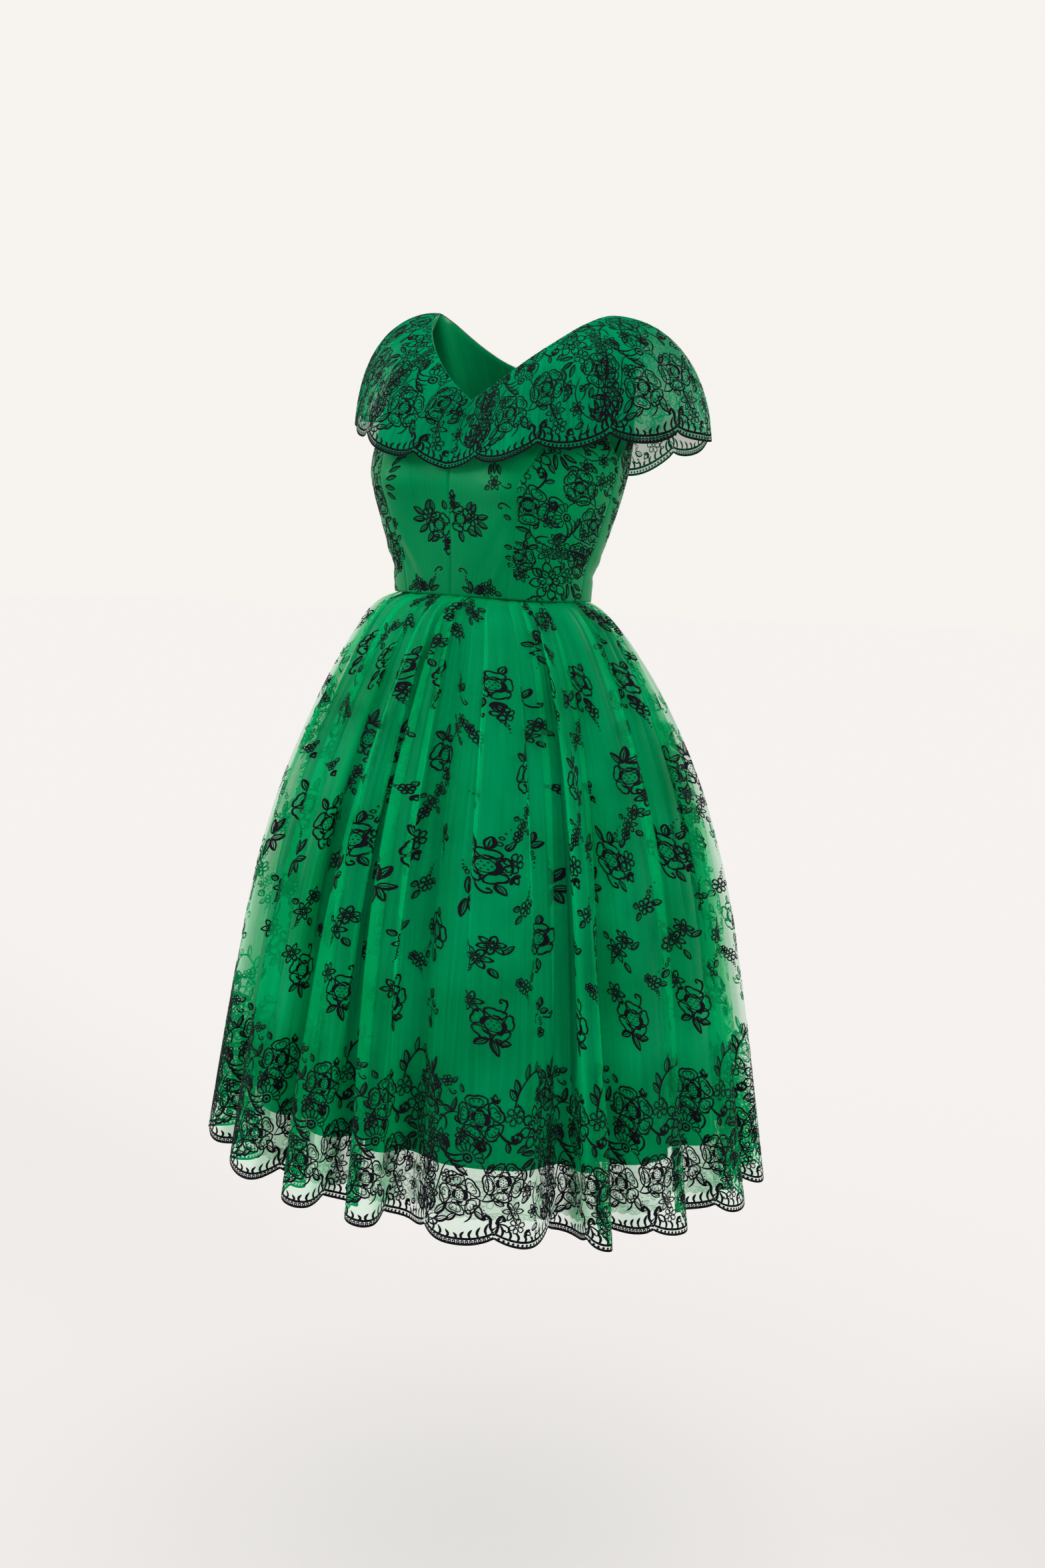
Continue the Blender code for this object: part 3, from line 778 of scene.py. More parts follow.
# Every table of a motif has a row for each spot: its flower or leaf, size, x, y, turn and
# whether it is mirrored. The first are the skirt's staggered rows, from the hem up.
SPRAY_WITH_STAR = (
    (rose, 15, 3, 0), (star_flower, 10, -13, 17, 10), (leaf, 15, 2, -13, -70),
    (leaf, 14, 4, -12, -25), (leaf, 12, 0, -13, -140), (scroll, 11, 8, 12, 40),
)
SPRIG_WITH_CURLS = (
    (leaf, 10, 0, 6, 75), (leaf, 9, 0, 4, 130), (leaf, 8, 1, 2, 20), (scroll, 10, -2, 0, 160),
    (scroll, 8, 3, -2, -30), (berries, 14, 0, -2, -95), (daisy, 4.5, 0, -16),
)
STAR_CLUSTER = (
    (star_flower, 10, -5, -5), (star_flower, 9, 4, 9, 20), (leaf, 10, 10, 5, 25),
    (leaf, 9, 3, -12, -60), (leaf, 8, -12, 3, 150), (berries, 9, -9, -13, -120),
)
ROSE_WITH_TRAIL = (
    (rose, 13, 5, 8), (daisy, 7, -9, 4), (scroll, 12, -2, -6, -120), (leaf, 10, 4, -8, -80),
    (leaf, 8, -12, -18, -130), (berries, 14, -10, -8, -140), (leaf, 8, 6, 20, 80),
)
DOTTED_DAISY = (
    (daisy, 7, 0, 0), (leaf, 9, -5, -5, -135), (leaf, 7, -7, 1, 170), (leaf, 7, 5, 2, 5),
    (berries, 15, 3, 6, 62),
)
HALF_FLOWER = (
    (leaf, 15, 0, 4, 60), (leaf, 14, 0, 2, 95), (leaf, 12, 0, -2, 15), (leaf, 16, -1, -2, -100),
    (leaf, 12, 1, -2, -65), (berries, 11, -1, 18, 110),
)
SPRAY_WITH_ARCH = (
    (rose, 14, -3, -4), (daisy, 8, 13, 0, 20), (bud, 9, 12, -10, -60), (leaf, 13, -8, 9, 125),
    (leaf, 11, -2, 10, 80), (leaf, 10, 6, 12, 40), (berries, 17, 3, 13, 62), (daisy, 5, 16, 22),
    (scroll, 10, -8, -16, -100), (leaf, 9, 2, -18, -50),
)
LEAF_TWIG = (
    (leaf, 10, 0, 4, 70), (leaf, 9, 0, 1, 25), (leaf, 9, -1, 1, 140), (berries, 14, 0, -2, -88),
    (scroll, 7, -2, 3, 120, True),
)
LEAVED_ROSE = (
    (leaf, 15, -2, 13, 75), (leaf, 14, -2, 13, 140), (leaf, 14, 0, 13, 20), (rose, 14, 0, 0),
    (star_flower, 9, 9, -17, 15), (scroll, 13, 8, -6, 20),
)
BUD_SPRIG = (
    (daisy, 5, 2, 0), (bud, 7, 6, -6, -50), (berries, 12, -2, 1, 165), (leaf, 6, 4, 4, 40),
)
TALL_SPRAY = (
    (rose, 13, 0, 12), (bud, 9, 3, -4, -80), (leaf, 12, -4, -2, -110), (daisy, 7, 6, -14),
    (scroll, 11, -4, -8, -150), (berries, 12, 4, -20, -70), (scroll, 9, -4, 24, 100, True),
    (leaf, 9, 4, 24, 70),
)
CURLED_TWIG = (
    (leaf, 10, 0, 0, 110), (leaf, 10, 2, 0, 60), (leaf, 9, 1, -3, 150), (berries, 9, 0, 9, 120),
    (scroll, 9, 2, -4, -70),
)
SMALL_DAISY = (
    (daisy, 7, 0, 0), (daisy, 4.5, -7, 6), (leaf, 7, 6, -2, -20), (berries, 12, 1, -6, -80),
)
WAIST_CLUSTER = (
    (daisy, 8, -3, 4), (star_flower, 8, 6, -5), (leaf, 9, 9, 4, 30), (leaf, 8, -9, -2, -160),
    (daisy, 5, -5, -9), (leaf, 8, 2, -13, -70),
)

# The deep border above each pair of scallops. x runs from the cusp on their left, and y is
# the height above the cusps.
BORDER = (
    (rose, 24, 62, 127, 20), (scroll, 24, 80, 118, -75), (leaf, 17, 30, 128, 75),
    (leaf, 12, 30, 128, 145), (leaf, 10, 34, 124, -40), (plume, 50, 96, 140),
    (daisy, 10.5, 97, 131), (peony, 24, 126, 114), (rose, 18, 154, 147, 50),
    (leaf, 20, 156, 165, 72), (leaf, 16, 158, 163, 105), (leaf, 13, 152, 164, 135),
    (star_flower, 12, 160, 115), (star_flower, 9, 132, 146, 15), (star_flower, 11, 5, 99),
    (star_flower, 11, 19, 99, 25), (daisy, 11, 8, 84), (daisy, 6, 22, 161),
    (leaf, 15, 6, 151, 85), (leaf, 11, 7, 150, 40), (leaf, 9, 27, 160, 35),
    (scroll, 9, 24, 154, -80), (berries, 10, 9, 158, 15), (eye_flower, 17, 50, 82),
    (bud, 11, 62, 92, 75), (scroll, 16, 66, 84, 30), (leaf, 15, 30, 90, 120),
    (leaf, 13, 26, 84, 95), (leaf, 18, 36, 74, -35), (rose, 21, 87, 61, 35),
    (daisy, 10, 134, 87, 10), (leaf, 19, 124, 88, 175), (leaf, 18, 122, 82, -155),
    (leaf, 17, 124, 78, -120), (leaf, 12, 132, 76, -80), (rose, 21, 154, 67, 5),
    (leaf, 14, 138, 52, -150), (leaf, 12, 140, 48, -110), (tulip, 16, 3, 54),
    (rose, 21, 43, 42, 25), (peony, 14, 6, 38, 90), (leaf, 14, 58, 28, -40),
    (scroll, 13, 64, 40, -20), (leafy_spray, 34, 4, 8), (star_flower, 11, 97, 30),
    (daisy, 8, 101, 14), (leaf, 12, 88, 36, 150), (leaf, 11, 88, 24, -140),
    (leaf, 10, 106, 38, 50), (bud, 8, 110, 8, -35), (scroll, 12, 80, 16, 200, True),
    (scroll, 13, 112, 40, 40), (scroll, 13, 126, 36, 30), (star_flower, 8, 121, 28),
    (berries, 12, 122, 20, -75), (scroll, 20, 134, 32, -100), (leaf, 19, 156, 36, 175),
    (leaf, 13, 150, 26, -160), (leafy_spray, 24, 146, 14, 40), (leaf, 13, 112, 98, -150),
    (leaf, 12, 140, 100, -30), (leaf, 12, 42, 104, -110), (bud, 9, 76, 148, 95),
    (leaf, 10, 44, 150, 120), (scroll, 14, 24, 108, 60), (star_flower, 9, 44, 106, 20),
    (leaf, 15, 14, 122, 110), (leaf, 14, 70, 70, 60), (berries, 15, 72, 20, 100),
    (leaf, 13, 30, 14, 40), (scroll, 12, 48, 14, 20), (daisy, 7, 30, 60, 30),
    (leaf, 13, 108, 60, 80), (star_flower, 9, 112, 52), (scroll, 13, 66, 20, 70),
    (leaf, 12, 92, 92, 100), (bud, 9, 96, 104, 60), (leaf, 12, 20, 134, 160),
    (leaf, 12, 142, 128, 200), (daisy, 7, 62, 100, 10), (leaf, 11, 118, 8, 30),
    (scroll, 10, 132, 12, 100, True), (leaf, 12, 76, 4, 60),
)
BORDER_STEMS: tuple[Points, ...] = (
    ((4, 8), (12, 28), (20, 52), (26, 72), (38, 80)),
    ((4, 8), (-4, 30), (2, 60), (8, 78), (12, 96)),
    ((12, 106), (18, 120), (28, 128), (40, 128)),
    ((22, 60), (34, 66), (44, 62), (50, 70)),
    ((100, 16), (92, 40), (98, 62), (112, 76), (128, 84)),
    ((138, 14), (142, 34), (148, 52), (146, 80), (136, 100)),
    ((138, 14), (126, 24), (120, 44), (128, 62)),
    ((108, 126), (104, 138), (98, 144)),
    ((20, 48), (28, 30), (18, 14), (6, 6)),
    ((66, 40), (72, 54), (68, 72), (60, 84)),
    ((150, 128), (142, 136), (146, 150)),
)


def deep_border() -> Drawing:
    """Draws one repeat of the deep border, flowers and the stems that join them."""
    new = compose(BORDER)
    for points in BORDER_STEMS:
        new.stroke(points, 1.0, 10, (0.6, 0.3))
    return new


LACE_FLOWER = (
    (daisy, 11, 0, 24), (leaf, 13, 8, 14, -25), (leaf, 13, -8, 14, -155), (leaf, 11, 8, 34, 40),
    (leaf, 11, -8, 34, 140), (star_flower, 8, 21, 38), (leaf, 9, 21, 26, -90),
    (scroll, 9, 21, 12, 60), (scroll, 9, 21, 12, 120, True),
)


def lace_flower(width: float, loop: float = 2.4, line_up: float = 7.5) -> Drawing:
    """Draws one repeat of the lace: a flower in its leaves above an edge of small loops.

    Args:
        width: Its width.
        loop: Radius of a loop.
        line_up: Height of the wavy line above the loops.

    Returns:
        The drawing.
    """
    new = compose(LACE_FLOWER)
    for x in np.arange(0, width, 2 * loop + 0.4):
        new.ring(x, loop + 0.8, loop, 0.5, 6)
    line = [(x, line_up + math.sin(x / 3.0)) for x in np.linspace(0, width, 9)]
    return new.stroke(line, 0.7, 9, (1.0, 1.0))


@dataclass(frozen=True)
class PrintRow:
    """A row of one motif round the skirt."""

    spots: Rows
    up: float
    phase: float
    scale: float
    every: int = 1  # repeats from one that shows to the next, as the gathers hide the others


SKIRT_PRINT = (
    PrintRow(SPRAY_WITH_STAR, 230, 0.43, 1.18), PrintRow(SPRIG_WITH_CURLS, 232, 0.92, 1.18),
    PrintRow(STAR_CLUSTER, 304, 0.40, 1.18), PrintRow(ROSE_WITH_TRAIL, 302, 0.88, 1.28),
    PrintRow(DOTTED_DAISY, 352, 0.66, 1.24), PrintRow(HALF_FLOWER, 360, 0.16, 1.33),
    PrintRow(SPRAY_WITH_ARCH, 404, 0.42, 1.33), PrintRow(LEAF_TWIG, 410, 0.90, 1.33),
    PrintRow(LEAVED_ROSE, 496, 0.70, 1.33), PrintRow(BUD_SPRIG, 470, 0.22, 1.13),
    PrintRow(TALL_SPRAY, 590, 0.40, 1.24), PrintRow(CURLED_TWIG, 580, 0.88, 1.24),
    PrintRow(SMALL_DAISY, 648, 0.66, 1.24, 2), PrintRow(STAR_CLUSTER, 640, 0.16, 1.13, 2),
    PrintRow(WAIST_CLUSTER, 696, 0.40, 1.24, 2), PrintRow(WAIST_CLUSTER, 690, 0.90, 1.13, 2),
    PrintRow(SMALL_DAISY, 268, 0.66, 1.05), PrintRow(STAR_CLUSTER, 448, 0.66, 0.95),
    PrintRow(SMALL_DAISY, 536, 0.12, 1.05), PrintRow(STAR_CLUSTER, 540, 0.95, 0.9),
)


def scalloped(places: Array, hang: float) -> Array:
    """Height of a scalloped edge against its cusps, one of which lies at each whole number."""
    return -hang * np.sin(np.pi * np.mod(places, 1.0)) ** 0.7


class Beads(Enum):
    """What fills the band along a scalloped edge, with its spacing."""

    CIRCLES = 4.3
    DOTS = 4.8


@dataclass(frozen=True)
class ScallopEdge:
    """Printed edge of one scallop: a beaded band, a comb of hooks and a pair of scrolls."""

    width: float
    hang: float
    band: float = 7.0
    bead: float = 1.4
    hooks: int = 9
    hook_inset: float = 3.0
    hook_short: float = 6.0
    hook_long: float = 15.0
    scroll_ball: float = 2.2

    def height(self, x: Array) -> Array:
        """Height of the cut edge at each x, below the cusps."""
        return scalloped(np.asarray(x, float) / self.width, self.hang)

    def draw(self, beads: Beads) -> Drawing:
        """Draws the edge of one scallop, its left cusp at the origin."""
        new = Drawing()
        for rise, inset, weight in ((1.2, 0.0, 1.7), (self.band, 2.0, 1.5)):
            x = np.linspace(inset, self.width - inset, 25)
            path = np.stack([x, self.height(x) + rise], axis=-1)
            new.strokes.append((path, np.full(len(x), weight * Drawing.BRUSH / 2)))
        pitch = beads.value
        for x in np.arange(pitch, self.width - 0.6 * pitch, pitch):
            y = float(self.height(x)) + 0.54 * self.band
            if beads is Beads.CIRCLES:
                new.ring(x, y, self.bead, 0.85, 6)
            else:
                new.dot(x, y, self.bead)
        # The hooks curl away from the scallop's middle and are longest at its cusps.
        for t in (np.arange(self.hooks) + 0.5) / self.hooks:
            x = self.hook_inset + t * (self.width - 2 * self.hook_inset)
            y = float(self.height(x)) + self.band
            lean = 1.0 if t > 0.5 else -1.0
            reach = self.hook_short + (self.hook_long - self.hook_short) * abs(2 * t - 1)
            path = [(x, y), (x - 1.8 * lean, y + 0.45 * reach), (x + 1.4 * lean, y + reach)]
            new.stroke(path, 1.7, 6, (0.5, 0.2))
        for hand in (1, -1):
            path = np.array([(0.8, 6.0), (4.0, 13.0), (3.6, 21.0), (8.4, 25.0), (11.0, 20.5)])
            new.stroke(path * (hand, 1), 2.1, 9, (0.4, 0.5))
            new.dot(10.2 * hand, 20.8, self.scroll_ball)
        return new


class LineWork:
    """The drawn lines on one panel, print or thread, as quads that lie on its outer side."""

    LIFT = 0.3

    def __init__(self, panel: Panel, around: bool = False, wall: float = 0.0) -> None:
        """Starts with no lines.

        Args:
            panel: The cloth that it lies on.
            around: Whether the panel closes on itself, so that the print runs on.
            wall: Thickness of the cloth.
        """
        self.panel = panel
        self.lift = self.LIFT + wall / 2
        self.around = around
        self.corners: list[Array] = []
        self.quads: list[Array] = []
        self.shares: list[Array] = []
        self.count = 0

    def place(
        self,
        drawing: Drawing,
        share: float,
        up: float,
        breadth: float,
        edge: Callable[[Array], Array] | None = None,
    ) -> None:
        """Lays a drawing on the cloth.

        Args:
            drawing: What is printed.
            share: Share of the panel's width at the drawing's origin.
            up: Height of its origin above the bottom edge or, with an edge, above its cusps.
            breadth: Width in millimetres that counts as the whole panel's.
            edge: Gives how high the bottom edge lies at each share, against its cusps.
        """
        flat, quads = drawing.ribbons
        height = up + flat[:, 1]
        shares = share + flat[:, 0] / breadth
        if self.around:
            shares = np.mod(shares, 1.0)
        if edge is not None:
            height = height - edge(shares)
        self.keep(*self.panel.locate(shares, height), quads)

    def lay(self, drawing: Drawing, x: float, y: float) -> None:
        """Lays a drawing on a panel that knows its flat places."""
        flat, quads = drawing.ribbons
        self.keep(*self.panel.find(x + flat[:, 0], y + flat[:, 1]), quads)

    def keep(self, rows: Array, cols: Array, quads: Array) -> None:
        """Keeps the quads whose corners all lie on the panel."""
        inside = (rows >= 0) & (rows <= self.panel.rows - 1)
        inside &= (cols >= 0) & (cols <= self.panel.cols - 1)
        self.corners.append(self.panel.at(rows, cols, self.lift))
        self.quads.append(quads[inside[quads].all(axis=1)] + self.count)
        self.shares.append(cols / (self.panel.cols - 1))
        self.count += len(rows)

    def piece(
        self, name: str, finish: Material, span: Pair = (0.0, 1.0)
    ) -> Object:
        """Makes the print's mesh.

        Args:
            name: Name of the new object.
            finish: Its material.
            span: The shares of the panel's width between which it is kept.

        Returns:
            The new object.
        """
        corners, quads = np.concatenate(self.corners), np.concatenate(self.quads)
        place = np.concatenate(self.shares)[quads[:, 0]]
        quads = quads[(place >= span[0]) & (place < span[1] + 1e-9)]
        used, numbers = np.unique(quads, return_inverse=True)
        return new_mesh(name, corners[used], numbers.reshape(-1, 4), finish)


def hang_cloth(
    piece: Object, node: str, panel: Panel, length: float, held: str, **others: Any
) -> Object:
    """Lets a piece of cloth take its node's place.

    Args:
        piece: The cloth.
        node: The node that it replaces.
        panel: The panel that it was made from; not used.
        length: Its length laid flat, in millimetres; not used.
        held: How it is held; not used.

    Returns:
        The piece.
    """
    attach(piece, "root")
    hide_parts(node)
    return piece


def fix_print(piece: Object, slot: str) -> Object:
    """Lets a print or a set of threads ride with the dress, and returns it."""
    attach(piece, "root")
    return piece


@dataclass(frozen=True)
class SkirtForm:
    """Shape of the gathered skirt: its outline by drop below the waist, and its large folds."""

    waist_z: float = -323.0
    hem_z: float = -977.0
    under_hem_z: float = -918.0
    seam_turn: float = 16.0  # how far the side seams lie round from the sides, in degrees
    start: float = -1.4  # drop of the overskirt's top edge, which lies in the waist seam
    # Its outline and the depth of its folds and gathers, by drop below the waist.
    drops: Column = (0, 8, 24, 55, 103, 168, 250, 350, 465, 580, 720)
    side: Column = (124, 138, 154, 174, 201, 231, 262, 289, 310, 328, 348)
    front: Column = (91, 112, 135, 161, 191, 225, 257, 285, 306, 324, 345)
    back: Column = (88, 99, 114, 142, 180, 221, 260, 290, 312, 331, 353)
    fold: Column = (0.5, 2, 3.5, 6, 9.5, 13, 16.5, 19.5, 22, 24, 26)
    gather: Column = (1.6, 3.2, 4.2, 4.8, 4.8, 4.2, 3.2, 2.2, 1.2, 0.7, 0.5)
    to_left: Column = (0, 0, 2, 5, 7, 8, 7, 6, 5, 4, 4)
    # Each fold, from the right side seam over the front: its share of the ring, how high it
    # stands, how far its sides tuck under and how flat its crest is.
    degrees: Column = (22, 21, 20, 15, 13, 34, 10, 23, 22,
                                  18, 24, 14, 33, 12, 20, 17, 26, 16)
    height: Column = (1.05, 1.00, 1.10, 1.15, 1.05, 1.00, 1.20, 0.90, 1.00,
                                 1.10, 0.95, 1.20, 0.90, 1.10, 1.00, 1.15, 0.95, 1.05)
    tuck: Column = (0.8, 0.8, 0.9, 1.1, 1.1, 0.1, 1.2, 0.4, 0.6,
                               0.9, 0.7, 1.1, 0.5, 1.1, 0.9, 1.0, 0.7, 1.0)
    plateau: Column = (0.2, 0.2, 0.2, 0.1, 0.1, 0.95, 0.0, 0.7, 0.4,
                                  0.2, 0.4, 0.1, 0.6, 0.0, 0.2, 0.1, 0.4, 0.1)
    front_folds: int = 9
    # How far the folds have formed by drop, out of the even gathers at the waist.
    formed_drop: Column = (0, 60, 250, 500, 720)
    formed_share: Column = (0.0, 0.05, 0.55, 0.95, 1.0)
    gathers: int = 38
    # How far each gather laps over the next, in gathers, by drop.
    lap: Column = (0.0, 0.16, 0.22, 0.24, 0.25, 0.25, 0.22, 0.16, 0.08, 0.0, 0.0)
    # How the gathers swell and fade: their mean, how far they leave it, waves round the ring,
    # and how far the waves move on in radians to a millimetre down.
    swell: tuple[float, float, int, float] = (0.75, 0.35, 13, 0.004)
    # How unevenly the gathers stand: reach in turns of a gather, waves round the ring, start.
    uneven: tuple[tuple[float, int, float], ...] = ((0.35, 9, 0.0), (0.22, 23, 1.0))
    # The fine creases. Widths and wander are shares of the cloth's whole width.
    creases: int = 100
    crease_seed: int = 5
    crease_wander: Pair = (-0.006, 0.006)
    crease_width: Pair = (0.0013, 0.0030)
    crease_height: Pair = (-2.4, 3.0)
    crease_top: Pair = (10.0, 260.0)
    crease_length: Pair = (160.0, 420.0)

    @cached_property
    def ring(self) -> Array:
        """Where each fold starts on the ring, in degrees."""
        places = np.concatenate([[0.0], np.cumsum(self.degrees)])
        return places * 360.0 / places[-1]

    @cached_property
    def sizes(self) -> list[tuple[float, float, float, float]]:
        """Each fold's width at the hem, height, tuck and plateau."""
        full = self.waist_z - self.hem_z
        middle = float(self.read(self.side, full) - self.read(self.fold, full))
        wide = np.radians(np.diff(self.ring)) * middle
        return list(zip(wide, self.height, self.tuck, self.plateau))

    @cached_property
    def lengths(self) -> list[float]:
        """Length of cloth in each fold, at the hem."""
        t = np.linspace(0.0, 1.0, 65)
        return [self.used(t, size)[-1] for size in self.sizes]

    @cached_property
    def cloth(self) -> Array:
        """Where each fold starts along the cloth, as a share of its whole width."""
        front = np.cumsum(self.lengths[: self.front_folds])
        back = np.cumsum(self.lengths[self.front_folds :])
        return np.concatenate([[0.0], front / front[-1] / 2, 0.5 + back / back[-1] / 2])

    @cached_property
    def flat_width(self) -> float:
        """Width of the cloth round the whole hem."""
        return float(sum(self.lengths))

    def read(self, column: Column, drop: Any) -> Array:
        """Value of an outline column at each drop."""
        return smooth(drop, self.drops, column)

    @staticmethod
    def shape(t: Array, height: float, tuck: Any, plateau: Any) -> tuple[Array, Array]:
        """Sideways place and rise of one fold, for t from trough to trough."""
        phase = 2 * np.pi * t + plateau * np.sin(2 * np.pi * t)
        along = t + tuck * np.sin(4 * np.pi * t) / (4 * np.pi)
        return along, height * (1 - np.cos(phase)) - 1

    def used(self, t: Array, size: tuple[float, float, float, float]) -> Array:
        """Length of cloth from a fold's first trough to each t, at the hem."""
        wide, height, tuck, plateau = size
        deep = float(self.read(self.fold, self.waist_z - self.hem_z))
        along, rise = self.shape(t, height, tuck, plateau)
        steps = np.hypot(np.diff(along * wide), np.diff(rise * deep))
        return np.concatenate([[0.0], np.cumsum(steps)])

    def folded(self, share: Array, drop: Array, depth: float) -> tuple[Array, Array]:
        """Ring angle from the right side seam and rise of the folds, -1 in a trough.

        Args:
            share: Share of the cloth's width from the right side seam.
            drop: Drop below the waist.
            depth: Depth of this layer's folds against the overskirt's.

        Returns:
            The angles in degrees and the rises.
        """
        formed = smooth(drop, self.formed_drop, self.formed_share)
        angle, rise = np.zeros_like(share), np.zeros_like(share)
        even = np.linspace(0.0, 1.0, 129)
        last = len(self.sizes) - 1
        for k, size in enumerate(self.sizes):
            low, high = self.cloth[k], self.cloth[k + 1]
            here = (share >= low) & ((share < high) | (k == last))
            within = np.clip((share - low) / (high - low), 0, 1)
            length = self.used(even, size)
            t = within * (1 - formed) + np.interp(within, length / length[-1], even) * formed
            _, height, tuck, plateau = size
            along, up = self.shape(t, height, tuck * formed * depth, plateau * formed)
            angle = np.where(here, self.ring[k] + (self.ring[k + 1] - self.ring[k]) * along, angle)
            rise = np.where(here, up, rise)
        return angle, rise

    def crease(self, share: Array, drop: Array) -> Array:
        """Height of the fine uneven creases that run down from the gathers."""
        rng = np.random.default_rng(self.crease_seed)
        total = np.zeros(np.broadcast(share, drop).shape)
        for _ in range(self.creases):
            middle, wander = rng.uniform(0, 1), rng.uniform(*self.crease_wander)
            wide, high = rng.uniform(*self.crease_width), rng.uniform(*self.crease_height)
            top, length = rng.uniform(*self.crease_top), rng.uniform(*self.crease_length)
            along = np.clip((drop - top) / length, 0, 1)
            off = share - middle - wander * along**2
            total += high * np.sin(np.pi * along) ** 1.2 * np.exp(-((off / wide) ** 2))
        return total

    def points(
        self, share: Array, drop: Array, depth: float = 1.0, inset: Any = 0.0, fine: float = 1.0
    ) -> Array:
        """Points on a skirt layer.

        Args:
            share: Share of the cloth's width from the right side seam.
            drop: Drop below the waist.
            depth: Depth of its folds against the overskirt's.
            inset: Clear space inside the overskirt in the troughs.
            fine: Share of the fine gathers and creases.

        Returns:
            The points, leaned as the worn dress.
        """
        share, drop = np.broadcast_arrays(np.asarray(share, float), np.asarray(drop, float))
        angle, rise = self.folded(share, drop, depth)
        uneven = sum(
            reach * np.sin(2 * np.pi * waves * share + start)
            for reach, waves, start in self.uneven
        )
        phase = 2 * np.pi * (self.gathers * share + uneven)
        angle = angle - fine * self.read(self.lap, drop) * 360 / self.gathers * np.sin(phase)
        turn = np.radians(angle - 180.0 + self.seam_turn)
        c, s = np.cos(turn), np.sin(turn)
        side = self.read(self.side, drop)
        reach = np.where(s < 0, self.read(self.front, drop), self.read(self.back, drop))
        crest = side * reach / np.hypot(reach * c, side * s)
        fold = self.read(self.fold, drop)
        mean, more, waves, slant = self.swell
        swell = mean + more * np.sin(2 * np.pi * waves * share + slant * drop)
        # The gathers are round outside and sharp inside.
        wave = 1.1 - 2.0 * (0.5 + 0.5 * np.cos(phase)) ** 1.5
        small = self.read(self.gather, drop) * wave * swell
        if fine:
            small = small + self.crease(share, drop)
        middle = crest - fold - fold * (1 - depth) - inset
        r = middle + depth * fold * rise + fine * small
        x = r * c + self.read(self.to_left, drop)
        return LEAN.apply(np.stack([x, r * s, self.waist_z - drop], axis=-1))


